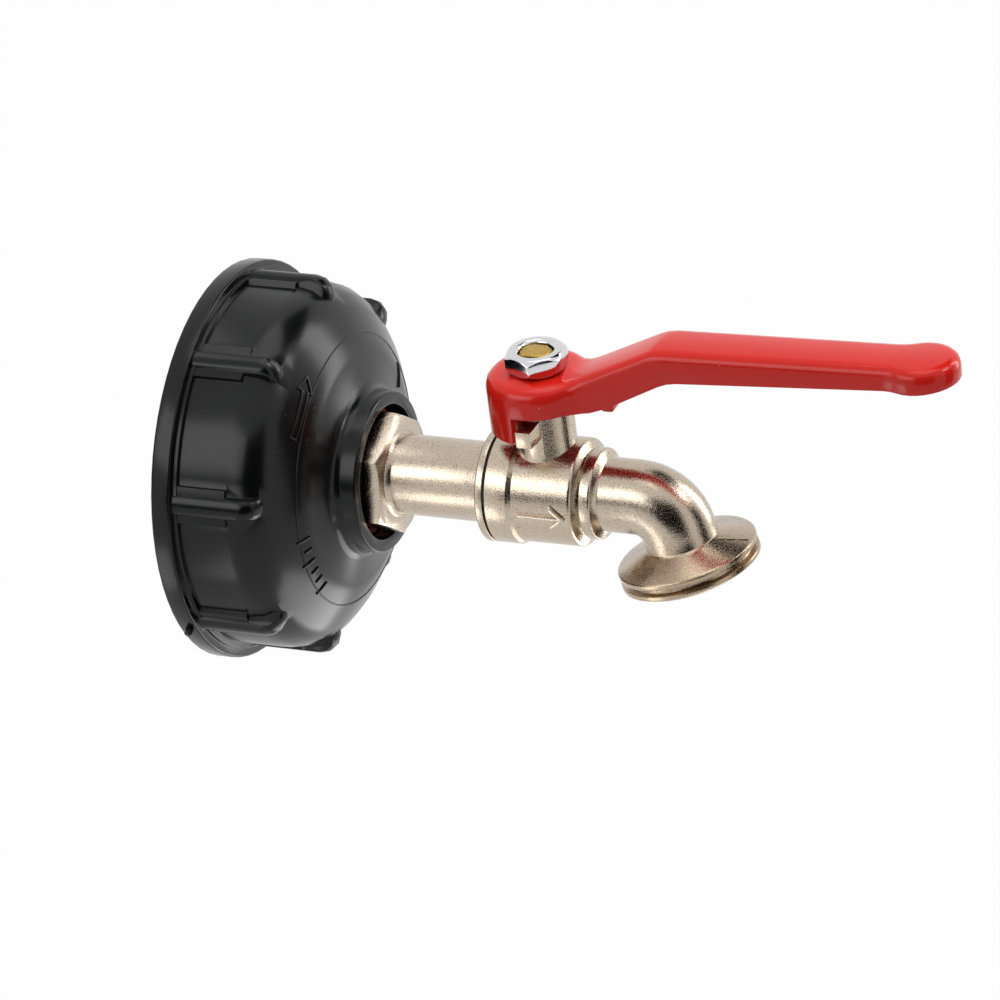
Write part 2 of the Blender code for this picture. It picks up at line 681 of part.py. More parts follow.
def body_outside():
    """The body's outer rings: end ring, barrel, groove, second ring, spout, cone and thread."""
    start = body_start()
    ring_end = start + RING_LENGTH
    barrel = rounded([
        (start, RING_RADIUS - JOINT_EDGE),
        (start + JOINT_EDGE, RING_RADIUS),
        (ring_end, RING_RADIUS, BARREL_EDGE),
        (ring_end + BARREL_EDGE, BARREL_RADIUS),
        (BARREL_END, BARREL_RADIUS, BARREL_EDGE),
        (BARREL_END + BARREL_EDGE, GROOVE_RADIUS),
        (SECOND_RING_X, SECOND_RING_RADIUS, COLLAR_EDGE),
        (SECOND_RING_END, SECOND_RING_RADIUS, SECOND_RING_EDGE),
        (SPOUT_X - SPOUT_ROOT_ROUND, SPOUT_RADIUS + SPOUT_ROOT_ROUND),
        (SPOUT_X, SPOUT_RADIUS),
    ], closed=False)
    flank = (THREAD_PITCH - THREAD_LAND) / 3
    root = FLANGE_RADIUS - THREAD_DEPTH
    second = -THREAD_PITCH
    flange = [
        (FLANGE_CONE + CONE_FOOT, SPOUT_RADIUS),
        (FLANGE_CONE, SPOUT_RADIUS + CONE_FOOT),
        (flank, FLANGE_RADIUS - flank),
        (0.0, FLANGE_RADIUS),
        (-THREAD_LAND, FLANGE_RADIUS),
        (-THREAD_LAND - flank, root),
        (second - flank / 2, root),
        (second - flank, FLANGE_RADIUS),
        (second - flank - THREAD_LAND, FLANGE_RADIUS),
        (-FLANGE_THICK, root),
    ]
    rings = barrel_rings(barrel) + bend_rings(SPOUT_RADIUS)
    return rings + [outlet_ring(height, radius) for height, radius in flange]


def body_inside():
    """The body's inner rings: threaded bore, ball cavity, seat pocket and flow bore."""
    thread_end = SPIGOT_END + SEAT_GAP
    pocket_start = STEM_X + PORT_RADIUS
    pocket_end = STEM_X + SEAT_BACK + SEAT_GAP
    barrel = [
        (body_start() - SEAT_GAP, SPIGOT_RADIUS + SEAT_GAP),
        (thread_end, SPIGOT_RADIUS + SEAT_GAP),
        (thread_end, CAVITY_RADIUS),
        (pocket_start, CAVITY_RADIUS),
        (pocket_start, SEAT_OUTER + SEAT_GAP),
        (pocket_end, SEAT_OUTER + SEAT_GAP),
        (pocket_end, FLOW_RADIUS),
    ]
    mouth = outlet_ring(-FLANGE_THICK - SEAT_GAP, FLOW_RADIUS)
    return barrel_rings(barrel) + bend_rings(FLOW_RADIUS) + [mouth]


def neck():
    return turned(rounded([
        (0.0, BALL_RADIUS),
        (NECK_RADIUS, BALL_RADIUS),
        (NECK_RADIUS, NECK_TOP, NECK_EDGE),
        (0.0, NECK_TOP),
    ]), "Z", SMALL_STEPS)


def stop_lugs():
    """One bar across the neck, whose two ends stop the lever's tab."""
    tab_edge = HUB_RADIUS * math.cos(math.radians(TAB_CENTRE_DEG + TAB_HALF_DEG))
    front = tab_edge + STOP_PLAY
    half = [(LUG_REACH, LUG_TOP - LUG_HEIGHT), (LUG_REACH, LUG_TOP)]
    outline = [(0.0, LUG_TOP - LUG_HEIGHT - LUG_ROOT_DROP), *half,
               *[(-y, z) for y, z in reversed(half)]]
    return extruded(outline, "YZ", front, LUG_BACK)


def stem_hollow():
    roof = COLLAR_BOTTOM + STEM_COLLAR_THICK + THRUST_THICK + 2 * SMALL_GAP
    wide = STEM_COLLAR_RADIUS + RUNNING_GAP
    return turned([
        (0.0, TONGUE_BOTTOM),
        (wide, TONGUE_BOTTOM),
        (wide, roof),
        (STEM_BORE, roof),
        (STEM_BORE, NECK_TOP + NECK_EDGE),
        (0.0, NECK_TOP + NECK_EDGE),
    ], "Z", SMALL_STEPS)


def make_valve_body():
    body = new_piece("valve_body", lofted(body_outside(), BODY_STEPS), "nickel")
    on_stem = Matrix.Translation((STEM_X, 0.0, 0.0))
    # Half a step of turn keeps the neck's corners off the barrel's
    off_step = on_stem @ Matrix.Rotation(math.pi / SMALL_STEPS, 4, "Z")
    changes = (("neck", neck(), off_step, "UNION"),
               ("stop_lugs", stop_lugs(), on_stem, "UNION"),
               ("body_hollow", lofted(body_inside(), BODY_STEPS), Matrix.Identity(4), "DIFFERENCE"),
               ("stem_hollow", stem_hollow(), off_step, "DIFFERENCE"))
    for name, builder, place, operation in changes:
        bmesh.ops.transform(builder, matrix=place, verts=builder.verts)
        combine(body, new_cutter(name, builder), operation)


# Stem and its seals

def make_stem(turning):
    collar_top = COLLAR_BOTTOM + STEM_COLLAR_THICK
    groove_half = ORING_MINOR + SMALL_GAP
    shaft = [(STEM_COLLAR_RADIUS, COLLAR_BOTTOM), (STEM_COLLAR_RADIUS, collar_top),
             (STEM_RADIUS, collar_top)]
    for height in ORING_HEIGHTS:
        shaft += [(STEM_RADIUS, height - groove_half), (ORING_GROOVE_RADIUS, height - groove_half),
                  (ORING_GROOVE_RADIUS, height + groove_half), (STEM_RADIUS, height + groove_half)]
    outline = [(0.0, COLLAR_BOTTOM), *shaft, (STEM_RADIUS, STEM_TOP - STEM_EDGE),
               (STEM_RADIUS - STEM_EDGE, STEM_TOP), (0.0, STEM_TOP)]
    stem = new_piece("stem", turned(outline, "Z", SMALL_STEPS), "stem_brass", turning)
    tongue = extruded([(-TONGUE_WIDTH / 2, TONGUE_BOTTOM), (TONGUE_WIDTH / 2, TONGUE_BOTTOM),
                       (TONGUE_WIDTH / 2, COLLAR_BOTTOM + SEAT_GAP),
                       (-TONGUE_WIDTH / 2, COLLAR_BOTTOM + SEAT_GAP)],
                      "YZ", -TONGUE_THICK / 2, TONGUE_THICK / 2)
    combine(stem, new_cutter("stem_tongue", tongue, turning), "UNION")
    flat_start = HUB_TOP - LEVER_TOP_THICK - SEAT_GAP
    outside = 2 * STEM_RADIUS
    slabs = []
    for side in (-1.0, 1.0):
        low, high = sorted((side * FLATS_ACROSS / 2, side * outside))
        slabs.append(extruded([(-outside, low), (outside, low), (outside, high), (-outside, high)],
                              "XY", flat_start, STEM_TOP + outside))
    combine(stem, new_cutter("stem_flats", merge(*slabs), turning), "DIFFERENCE")


def make_thrust_washer(turning):
    start = COLLAR_BOTTOM + STEM_COLLAR_THICK + SMALL_GAP
    bore = STEM_RADIUS + SMALL_GAP
    outline = [(bore, start), (STEM_COLLAR_RADIUS, start),
               (STEM_COLLAR_RADIUS, start + THRUST_THICK), (bore, start + THRUST_THICK)]
    new_piece("stem_thrust_washer", turned(outline, "Z", SMALL_STEPS), "seat_white", turning)


def make_oring(name, height, turning):
    centre = (ORING_GROOVE_RADIUS + STEM_BORE) / 2
    outline = []
    for side in range(ORING_SIDES):
        angle = 2 * math.pi * (side + 0.5) / ORING_SIDES
        outline.append((centre + ORING_MINOR * math.cos(angle), height + ORING_MINOR * math.sin(angle)))
    new_piece(name, turned(outline, "Z", SMALL_STEPS), "seal_black", turning)


# Lever

def top_height_line():
    return rounded([
        (STEM_X - 2 * HUB_RADIUS, HUB_TOP),
        (STEM_X + RAMP_FOOT, HUB_TOP, RAMP_FOOT_ROUND),
        (STEM_X + RAMP_REACH, HUB_TOP + RAMP_RISE, RAMP_HEAD_ROUND),
        (END_X + END_RADIUS, HUB_TOP + RAMP_RISE + GRIP_RISE),
    ], closed=False)


def bottom_height_line():
    return rounded([
        (STEM_X - 2 * HUB_RADIUS, HUB_SKIRT_BOTTOM),
        (STEM_X + LOWER_RAMP_FOOT, HUB_SKIRT_BOTTOM, 2 * RAMP_FOOT_ROUND),
        (STEM_X + LOWER_RAMP_REACH, HUB_SKIRT_BOTTOM + LOWER_RAMP_RISE, RAMP_HEAD_ROUND),
        (END_X + END_RADIUS, HUB_SKIRT_BOTTOM + LOWER_RAMP_RISE + LOWER_GRIP_RISE),
    ], closed=False)


def height_at(line, x):
    for start, end in zip(line, line[1:]):
        if x <= end.x:
            share = (x - start.x) / (end.x - start.x)
            return start.y + share * (end.y - start.y)
    return line[-1].y


def tab_span():
    """The hub angles where the stop tab begins and ends, as mirrored onto the +Y side."""
    low = 360.0 - TAB_CENTRE_DEG - TAB_HALF_DEG
    return low, low + 2 * TAB_HALF_DEG


def half_outline():
    """The lever's edge seen from above, from the hub's tip to the far end, on the +Y side.

    Each entry is a point, its outward normal and the hub angle where it lies on the hub.
    """
    entries = []
    hub = Vector((STEM_X, 0.0))
    hub_waist = Vector((0.0, GRIP_HALF_WIDTH + HUB_WAIST_ROUND))
    hub_waist.x = STEM_X + math.sqrt((HUB_RADIUS + HUB_WAIST_ROUND) ** 2 - hub_waist.y ** 2)
    hub_end = math.degrees(math.atan2(hub_waist.y, hub_waist.x - STEM_X))
    tab_low, tab_high = tab_span()
    angles = {180.0, tab_low, tab_low - TAB_EDGE_DEG, tab_high, tab_high + TAB_EDGE_DEG, hub_end}
    for index in range(1, int((180.0 - hub_end) / HUB_STEP_DEG) + 1):
        angle = 180.0 - HUB_STEP_DEG * index
        if min(abs(angle - fixed) for fixed in angles) > HUB_STEP_DEG / 3:
            angles.add(angle)
    for angle in sorted(angles, reverse=True):
        normal = Vector((math.cos(math.radians(angle)), math.sin(math.radians(angle))))
        if angle == 180.0:
            normal = Vector((-1.0, 0.0))
        entries.append((hub + HUB_RADIUS * normal, normal, angle))
    start = math.radians(hub_end) - math.pi
    for step in range(1, WAIST_STEPS + 1):
        angle = start + (-math.pi / 2 - start) * step / WAIST_STEPS
        arm = Vector((math.cos(angle), math.sin(angle)))
        entries.append((hub_waist + HUB_WAIST_ROUND * arm, -arm, None))
    end = Vector((END_X - END_RADIUS, 0.0))
    end_waist = Vector((0.0, GRIP_HALF_WIDTH + END_WAIST_ROUND))
    end_waist.x = end.x - math.sqrt((END_RADIUS + END_WAIST_ROUND) ** 2 - end_waist.y ** 2)
    straight = [point.x for line in (top_height_line(), bottom_height_line()) for point in line]
    for x in sorted(straight):
        last = entries[-1][0].x
        if last + GRIP_LEAST_STEP < x < end_waist.x - GRIP_LEAST_STEP:
            entries.append((Vector((x, GRIP_HALF_WIDTH)), Vector((0.0, 1.0)), None))
    end_angle = math.atan2(end_waist.y, end_waist.x - end.x)
    finish = end_angle - math.pi
    for step in range(WAIST_STEPS + 1):
        angle = -math.pi / 2 + (finish + math.pi / 2) * step / WAIST_STEPS
        arm = Vector((math.cos(angle), math.sin(angle)))
        entries.append((end_waist + END_WAIST_ROUND * arm, -arm, None))
    for step in range(1, END_STEPS + 1):
        angle = end_angle * (1 - step / END_STEPS)
        normal = Vector((math.cos(angle), math.sin(angle)))
        if step == END_STEPS:
            normal = Vector((1.0, 0.0))
        entries.append((end + END_RADIUS * normal, normal, None))
    return entries


def lever_shell():
    """The lever as one closed skin: skirt, rounded edge and top outside, and its hollow inside."""
    builder = bmesh.new()
    entries = half_outline()
    top_line = top_height_line()
    bottom_line = bottom_height_line()
    last = len(entries) - 1
    tab_low, tab_high = tab_span()

    def edge_round(x):
        share = min(1.0, max(0.0, (x - STEM_X) / RAMP_REACH))
        return HUB_ROUND + (GRIP_ROUND - HUB_ROUND) * share

    def foot(index, side):
        point, _, angle = entries[index]
        on_tab = side < 0 and angle is not None and tab_low <= angle <= tab_high
        return TAB_BOTTOM if on_tab else height_at(bottom_line, point.x)

    def ring(inset, height):
        """One loop of vertices: the +Y side out to the far end and the -Y side back."""
        loop = {}
        for index, (point, normal, _) in enumerate(entries):
            place = point - normal * (inset(point.x) if callable(inset) else inset)
            sides = (1,) if index in (0, last) else (1, -1)
            for side in sides:
                level = height(index, side, place.x, point.x)
                loop[index, side] = builder.verts.new((place.x - STEM_X, side * place.y, level))
            if len(sides) == 1:
                loop[index, -1] = loop[index, 1]
        return loop

    def wall(lower, upper):
        for index in range(last):
            for side in (1, -1):
                corners = [lower[index, side], lower[index + 1, side],
                           upper[index + 1, side], upper[index, side]]
                builder.faces.new(corners if side > 0 else corners[::-1])

    def plate(loop):
        for index in range(last):
            corners = [loop[index, 1], loop[index + 1, 1], loop[index + 1, -1], loop[index, -1]]
            unique = list(dict.fromkeys(corners))
            builder.faces.new(unique)

    outer_foot = ring(0.0, lambda index, side, x, edge_x: foot(index, side))
    rings = [outer_foot]
    for step in range(EDGE_STEPS + 1):
        angle = math.pi / 2 * step / EDGE_STEPS
        rings.append(ring(
            lambda edge_x, angle=angle: edge_round(edge_x) * (1 - math.cos(angle)),
            lambda index, side, x, edge_x, angle=angle:
                height_at(top_line, x) - edge_round(edge_x) * (1 - math.sin(angle))))
    for lower, upper in zip(rings, rings[1:]):
        wall(lower, upper)
    plate(rings[-1])
    inner_foot = ring(LEVER_WALL, lambda index, side, x, edge_x: foot(index, side))
    inner_top = ring(LEVER_WALL, lambda index, side, x, edge_x: height_at(top_line, x) - LEVER_TOP_THICK)
    wall(outer_foot, inner_foot)
    wall(inner_foot, inner_top)
    plate(inner_top)
    bmesh.ops.recalc_face_normals(builder, faces=builder.faces)
    return builder


def make_lever(turning):
    lever = new_piece("lever", lever_shell(), "lever_red", turning, smooth_deg=40.0)
    outline = double_flat(STEM_RADIUS + SMALL_GAP, FLATS_ACROSS + 2 * SMALL_GAP)
    hole = extruded(outline, "XY", HUB_SKIRT_BOTTOM, HUB_TOP + LEVER_TOP_THICK)
    combine(lever, new_cutter("lever_hole", hole, turning), "DIFFERENCE")


def make_nut(turning):
    base = HUB_TOP + SMALL_GAP
    top = base + NUT_HEIGHT
    corner = NUT_FLATS / 2 / math.cos(math.pi / 6)
    nut = new_piece("lever_nut", extruded(hexagon(NUT_FLATS, NUT_TURN_DEG), "XY", base, top),
                    "nut_chrome", turning)
    outside = corner + SEAT_GAP
    drop = (outside - NUT_FACE_RADIUS) * NUT_SLOPE
    past_face = NUT_FACE_RADIUS - SEAT_GAP / NUT_SLOPE
    past_sink = NUT_BORE + NUT_SINK + SEAT_GAP
    shaping = turned([
        (NUT_BORE, base + NUT_SINK),
        (past_sink, base - SEAT_GAP),
        (past_face, base - SEAT_GAP),
        (outside, base + drop),
        (outside, top - drop),
        (past_face, top + SEAT_GAP),
        (past_sink, top + SEAT_GAP),
        (NUT_BORE, top - NUT_SINK),
    ], "Z", SMALL_STEPS)
    combine(nut, new_cutter("nut_shaping", shaping, turning), "INTERSECT")


def main():
    clear_scene()
    turning = bpy.data.objects.new("lever_axis", None)
    bpy.context.scene.collection.objects.link(turning)
    turning.location = (STEM_X, 0.0, 0.0)
    make_cap()
    make_cap_gasket()
    make_boss_washer()
    make_inlet_tail()
    make_joint_seal()
    make_valve_body()
    make_seat("seat_inlet", -1)
    make_seat("seat_outlet", 1)
    make_ball(turning)
    make_stem(turning)
    make_thrust_washer(turning)
    make_oring("stem_oring_lower", ORING_HEIGHTS[0], turning)
    make_oring("stem_oring_upper", ORING_HEIGHTS[1], turning)
    make_lever(turning)
    make_nut(turning)


main()
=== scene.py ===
"""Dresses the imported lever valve: softened and detailed pieces, finishes, light and camera."""
import json
import math

import bpy
from bpy.props import BoolProperty, FloatProperty, FloatVectorProperty
from mathutils import Matrix, Vector

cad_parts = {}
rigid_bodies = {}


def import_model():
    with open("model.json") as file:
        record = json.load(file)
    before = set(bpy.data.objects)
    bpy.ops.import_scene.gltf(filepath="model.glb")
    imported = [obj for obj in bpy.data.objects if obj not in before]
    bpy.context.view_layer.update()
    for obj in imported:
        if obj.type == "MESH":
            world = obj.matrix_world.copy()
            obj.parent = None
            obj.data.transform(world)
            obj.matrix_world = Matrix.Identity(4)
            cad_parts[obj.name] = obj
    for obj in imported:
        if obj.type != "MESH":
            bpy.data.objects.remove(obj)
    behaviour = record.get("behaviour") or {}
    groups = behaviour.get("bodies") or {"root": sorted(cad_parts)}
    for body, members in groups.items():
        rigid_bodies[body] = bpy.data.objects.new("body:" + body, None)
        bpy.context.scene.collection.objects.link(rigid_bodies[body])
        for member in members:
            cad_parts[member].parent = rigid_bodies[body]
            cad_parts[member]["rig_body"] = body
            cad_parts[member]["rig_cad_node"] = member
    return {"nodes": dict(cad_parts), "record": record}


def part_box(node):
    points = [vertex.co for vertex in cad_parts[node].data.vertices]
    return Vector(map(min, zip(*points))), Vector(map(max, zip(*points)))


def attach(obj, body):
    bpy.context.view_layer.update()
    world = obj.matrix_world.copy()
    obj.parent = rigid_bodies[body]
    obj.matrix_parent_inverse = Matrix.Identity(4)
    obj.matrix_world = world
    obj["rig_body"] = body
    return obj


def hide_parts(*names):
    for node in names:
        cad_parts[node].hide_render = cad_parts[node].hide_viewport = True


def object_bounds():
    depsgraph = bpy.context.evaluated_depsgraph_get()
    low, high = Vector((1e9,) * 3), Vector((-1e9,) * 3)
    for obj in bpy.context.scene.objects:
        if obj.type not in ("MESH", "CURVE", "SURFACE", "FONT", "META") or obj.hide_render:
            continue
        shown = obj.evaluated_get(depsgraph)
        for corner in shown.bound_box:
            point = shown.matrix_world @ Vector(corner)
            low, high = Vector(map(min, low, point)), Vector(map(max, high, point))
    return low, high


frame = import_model()
CAD_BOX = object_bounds()

bl_info = {
    "name": "Tank Valve Dressing",
    "version": (1, 0, 0),
    "blender": (4, 5, 0),
    "location": "3D View > Sidebar > Tank Valve",
    "description": "Adds threads, marks, finishes and a studio to the packed lever valve",
    "category": "Object",
}

MM = 0.001

# The point that the lamps and cards face
MIDDLE = (0.06, 0.0, 0.0)

# Where the stem's axis stands along the valve
STEM_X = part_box("stem")[0].x / 2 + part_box("stem")[1].x / 2

# Inside radius of the cap's socket wall
SOCKET_RADIUS = 30.2 * MM


# Sizes and colours that a user would change

class ValveFinishes(bpy.types.PropertyGroup):
    """Colours of the finishes and the size of the casting grain"""
    cap_colour: FloatVectorProperty(
        name="Cap plastic", description="Base colour of the moulded cap",
        subtype="COLOR", size=3, min=0.0, max=1.0, default=(0.0024, 0.0026, 0.0030))
    nickel_colour: FloatVectorProperty(
        name="Nickel", description="Base colour of the plated castings",
        subtype="COLOR", size=3, min=0.0, max=1.0, default=(0.52, 0.432, 0.330))
    pit_colour: FloatVectorProperty(
        name="Nickel grain", description="Darker colour in the pits of the plated castings",
        subtype="COLOR", size=3, min=0.0, max=1.0, default=(0.17, 0.135, 0.095))
    # Colour of the painted shade, brown, low on the spout and the threaded outlet
    low_shade_colour: FloatVectorProperty(
        name="Low_shade", description="Brown tint low on the spout and the threaded outlet",
        subtype="COLOR", size=3, min=0.0, max=1.0, default=(0.38, 0.275, 0.170))
    lever_colour: FloatVectorProperty(
        name="Lever coat", description="Base colour of the lever's coating",
        subtype="COLOR", size=3, min=0.0, max=1.0, default=(0.82, 0.018, 0.010))
    chrome_colour: FloatVectorProperty(
        name="Chrome", description="Base colour of the nut and the ball",
        subtype="COLOR", size=3, min=0.0, max=1.0, default=(0.68, 0.68, 0.70))
    brass_colour: FloatVectorProperty(
        name="Brass", description="Base colour of the stem",
        subtype="COLOR", size=3, min=0.0, max=1.0, default=(0.49, 0.32, 0.075))
    grain_size: FloatProperty(
        name="Casting grain", description="Size of the grain on the plated castings",
        subtype="DISTANCE", unit="LENGTH", min=0.00005, max=0.002, default=0.00028)


class ValveDetails(bpy.types.PropertyGroup):
    """Rounding of the edges, the tank thread and the height of the marks"""
    edge_round: FloatProperty(
        name="Edge rounding", description="Rounding of the sharp edges of metal pieces",
        subtype="DISTANCE", unit="LENGTH", min=0.0, max=0.001, default=0.00015)
    cap_edge_round: FloatProperty(
        name="Cap edge rounding", description="Rounding of the cap's moulded edges",
        subtype="DISTANCE", unit="LENGTH", min=0.0, max=0.001, default=0.00022)
    tank_thread_pitch: FloatProperty(
        name="Tank thread pitch", description="Pitch of the coarse thread in the cap",
        subtype="DISTANCE", unit="LENGTH", min=0.001, max=0.01, default=0.006)
    tank_thread_depth: FloatProperty(
        name="Tank thread depth", description="Height of the coarse thread's ridge",
        subtype="DISTANCE", unit="LENGTH", min=0.0005, max=0.002, default=0.0013)
    mark_height: FloatProperty(
        name="Mark height", description="How far the moulded and cast marks stand out",
        subtype="DISTANCE", unit="LENGTH", min=0.00005, max=0.001, default=0.0003)


class ValveStudio(bpy.types.PropertyGroup):
    """Place of the camera, the floor and the dark cards"""
    azimuth: FloatProperty(
        name="Camera azimuth", description="Turn of the camera round the valve",
        subtype="ANGLE", unit="ROTATION", default=math.radians(26.08))
    elevation: FloatProperty(
        name="Camera elevation", description="Height angle of the camera",
        subtype="ANGLE", unit="ROTATION", default=math.radians(28.04))
    roll: FloatProperty(
        name="Camera roll", description="Tilt of the camera about its own axis",
        subtype="ANGLE", unit="ROTATION", default=math.radians(-7.15))
    distance: FloatProperty(
        name="Camera distance", description="From the camera to the point it looks at",
        subtype="DISTANCE", unit="LENGTH", min=0.1, default=1.1418)
    lens: FloatProperty(
        name="Focal length", description="Focal length in millimetres on a 36 mm wide sensor",
        min=10.0, default=232.83)
    look_at: FloatVectorProperty(
        name="Look at", description="The point in the middle of the picture",
        subtype="XYZ", unit="LENGTH", size=3, default=(0.05277, -0.00414, -0.00101))
    floor_drop: FloatProperty(
        name="Floor gap", description="From the lowest point of the valve down to the floor",
        subtype="DISTANCE", unit="LENGTH", min=0.0, default=0.26)
    show_cards: BoolProperty(
        name="Dark cards", description="Put dark cards round the valve, which only reflections see",
        default=True)


def finishes():
    """The colours and the grain size in use."""
    return bpy.context.scene.valve_finishes


def details():
    """The sizes of the edges, the thread and the marks in use."""
    return bpy.context.scene.valve_details


def studio():
    """The places of the camera, the floor and the cards in use."""
    return bpy.context.scene.valve_studio


# Shader nodes and shader maths

def feed(tree, socket, value):
    """Link a wire to a socket, or give the socket a plain number, vector or colour."""
    if isinstance(value, Wire):
        tree.links.new(value.socket, socket)
    elif socket.type == "RGBA":
        socket.default_value = (*value, 1.0)
    else:
        socket.default_value = value


def add_node(tree, kind, settings=None, inputs=None):
    """Add a node, apply its settings, then fill or link its sockets."""
    node = tree.nodes.new(kind)
    for key, value in (settings or {}).items():
        setattr(node, key, value)
    for key, value in (inputs or {}).items():
        feed(tree, node.inputs[key], value)
    return node


class Wire:
    """A shader value that takes part in Python arithmetic by adding Math nodes."""

    def __init__(self, tree, socket):
        self.tree = tree
        self.socket = socket

    def math(self, operation, *values):
        """Add a Math node that works on these wires or plain numbers."""
        node = add_node(self.tree, "ShaderNodeMath", {"operation": operation}, dict(enumerate(values)))
        return Wire(self.tree, node.outputs[0])

    def __add__(self, other):
        return self.math("ADD", self, other)

    def __radd__(self, other):
        return self.math("ADD", other, self)

    def __sub__(self, other):
        return self.math("SUBTRACT", self, other)

    def __rsub__(self, other):
        return self.math("SUBTRACT", other, self)

    def __mul__(self, other):
        return self.math("MULTIPLY", self, other)

    def __rmul__(self, other):
        return self.math("MULTIPLY", other, self)

    def at_most(self, level):
        return self.math("MINIMUM", self, level)

    def sine(self):
        return self.math("SINE", self)

    def root(self):
        return self.math("SQRT", self)


class Finish:
    """One material under construction."""

    def __init__(self, name):
        self.material = bpy.data.materials.new(name)
        self.material.use_nodes = True
        self.tree = self.material.node_tree
        self.shader = self.tree.nodes["Principled BSDF"]
        self.place = self.node("ShaderNodeTexCoord", output="Object")

    def node(self, kind, settings=None, inputs=None, output=0):
        """Add a node and return one of its outputs as a wire."""
        return Wire(self.tree, add_node(self.tree, kind, settings, inputs).outputs[output])

    def part(self, axis):
        """The X, Y or Z of the object's own coordinates, in metres."""
        return self.node("ShaderNodeSeparateXYZ", inputs={"Vector": self.place}, output=axis)

    def noise(self, size, detail=2.0, roughness=0.5, stretch=(1.0, 1.0, 1.0)):
        """Noise whose features are about one size across, in metres."""
        placed = self.node("ShaderNodeMapping", inputs={"Vector": self.place, "Scale": stretch})
        return self.node("ShaderNodeTexNoise", inputs={
            "Vector": placed, "Scale": 1.0 / size, "Detail": detail, "Roughness": roughness})

    def cells(self, size):
        """Distance to the nearest of many scattered points, from 0 to about 1."""
        return self.node("ShaderNodeTexVoronoi", inputs={
            "Vector": self.place, "Scale": 1.0 / size, "Randomness": 1.0}, output="Distance")

    def level(self, value, low, high, out_low=0.0, out_high=1.0):
        """Map a value smoothly from one range to another."""
        return self.node("ShaderNodeMapRange", {"interpolation_type": "SMOOTHSTEP"}, {
            "Value": value, "From Min": low, "From Max": high,
            "To Min": out_low, "To Max": out_high})

    def mix(self, share, first, second):
        """Mix two colours, whose sockets are 6 and 7 on the node and 2 where they come out."""
        return self.node("ShaderNodeMix", {"data_type": "RGBA"}, {0: share, 6: first, 7: second}, 2)

    def bump(self, height, strength, reach, below=None):
        """Relief from a height, over the relief below it if there is one."""
        inputs = {"Height": height, "Strength": strength, "Distance": reach}
        if below is not None:
            inputs["Normal"] = below
        return self.node("ShaderNodeBump", inputs=inputs)

    def set(self, **values):
        """Give the shader its uniform values and its wires."""
        for key, value in values.items():
            feed(self.tree, self.shader.inputs[key.replace("_", " ")], value)
        return self.material


# Finishes

def cap_plastic():
    """Glossy black moulded plastic with faint flow, fine scuffs and a little dust."""
    finish = Finish("cap_plastic")
    colour = tuple(finishes().cap_colour)
    lighter = tuple(channel * 1.6 for channel in colour)
    dust_colour = (0.22, 0.21, 0.20)
    flow = finish.noise(9 * MM, 3.0)
    scuffs = finish.noise(1.1 * MM, 4.0, 0.6, (1.0, 5.0, 5.0))
    orange_peel = finish.noise(0.7 * MM, 2.0)
    dust = finish.level(finish.cells(1.7 * MM), 0.07, 0.03)
    patchy = finish.level(finish.noise(6 * MM), 0.5, 0.62)
    specks = dust * patchy
    base = finish.mix(flow, colour, lighter)
    base = finish.mix(specks * 0.5, base, dust_colour)
    rough = finish.level(scuffs, 0.35, 0.75, 0.19, 0.27) + specks * 0.25
    relief = finish.bump(orange_peel, 0.10, 0.05 * MM)
    relief = finish.bump(specks, 0.4, 0.03 * MM, relief)
    return finish.set(Base_Color=base, Roughness=rough, Normal=relief, IOR=1.35)


def plated_casting():
    """Satin nickel over a cast skin: warm, with sparkling grain, dark pits and painted shade that
    makes the lower spout and outlet darker and browner.
    """
    finish = Finish("plated_casting")
    grain_size = finishes().grain_size
    warm = tuple(finishes().nickel_colour)
    cool = (warm[0] * 0.97, warm[1], warm[2] * 1.08)
    bright = tuple(min(1.0, channel * 1.35) for channel in warm)
    grain = finish.noise(grain_size, 3.0, 0.65)
    coarse = finish.noise(4 * grain_size, 3.0, 0.6)
    tone = finish.noise(12 * MM, 2.0)
    speckle = finish.noise(0.6 * grain_size, 2.0, 0.8)
    pits = finish.level(grain * 0.6 + coarse * 0.2 + speckle * 0.2, 0.47, 0.38)
    flecks = finish.level(speckle, 0.58, 0.72)
    # Painted shade: the casting turns darker and browner towards the bottom of the spout and the
    # threaded outlet, by height alone
    low = finish.level(finish.part("Z") + tone * (7 * MM), 1.5 * MM, -6 * MM)
    outer = finish.level(finish.part("X"), 70 * MM, 86 * MM)
    base = finish.mix(tone, warm, cool)
    base = finish.mix(low * outer * 0.65, base, tuple(finishes().low_shade_colour))
    base = finish.mix(flecks * 0.5, base, bright)
    base = finish.mix(pits * 0.6, base, tuple(finishes().pit_colour))
    rough = finish.level(grain, 0.35, 0.7, 0.16, 0.30)
    relief = finish.bump(grain, 0.7, 0.035 * MM)
    relief = finish.bump(coarse, 0.35, 0.06 * MM, relief)
    return finish.set(Base_Color=base, Metallic=1.0, Roughness=rough, Normal=relief)


def lever_coat():
    """Thick glossy red coating with a slight orange peel and a few specks."""
    finish = Finish("lever_coat")
    colour = tuple(finishes().lever_colour)
    deeper = (colour[0] * 0.78, colour[1] * 0.7, colour[2] * 0.7)
    speck_colour = (0.75, 0.30, 0.26)
    flow = finish.noise(8 * MM, 2.0)
    peel = finish.noise(1.3 * MM, 2.0)
    fine = finish.noise(0.25 * MM, 2.0)
    specks = finish.level(finish.cells(4.5 * MM), 0.05, 0.03)
    base = finish.mix(flow * 0.6, colour, deeper)
    base = finish.mix(specks * 0.6, base, speck_colour)
    rough = finish.level(fine, 0.3, 0.7, 0.14, 0.20)
    relief = finish.bump(peel, 0.06, 0.06 * MM)
    relief = finish.bump(specks, 0.6, 0.08 * MM, relief)
    return finish.set(Base_Color=base, Roughness=rough, Normal=relief, IOR=1.35)


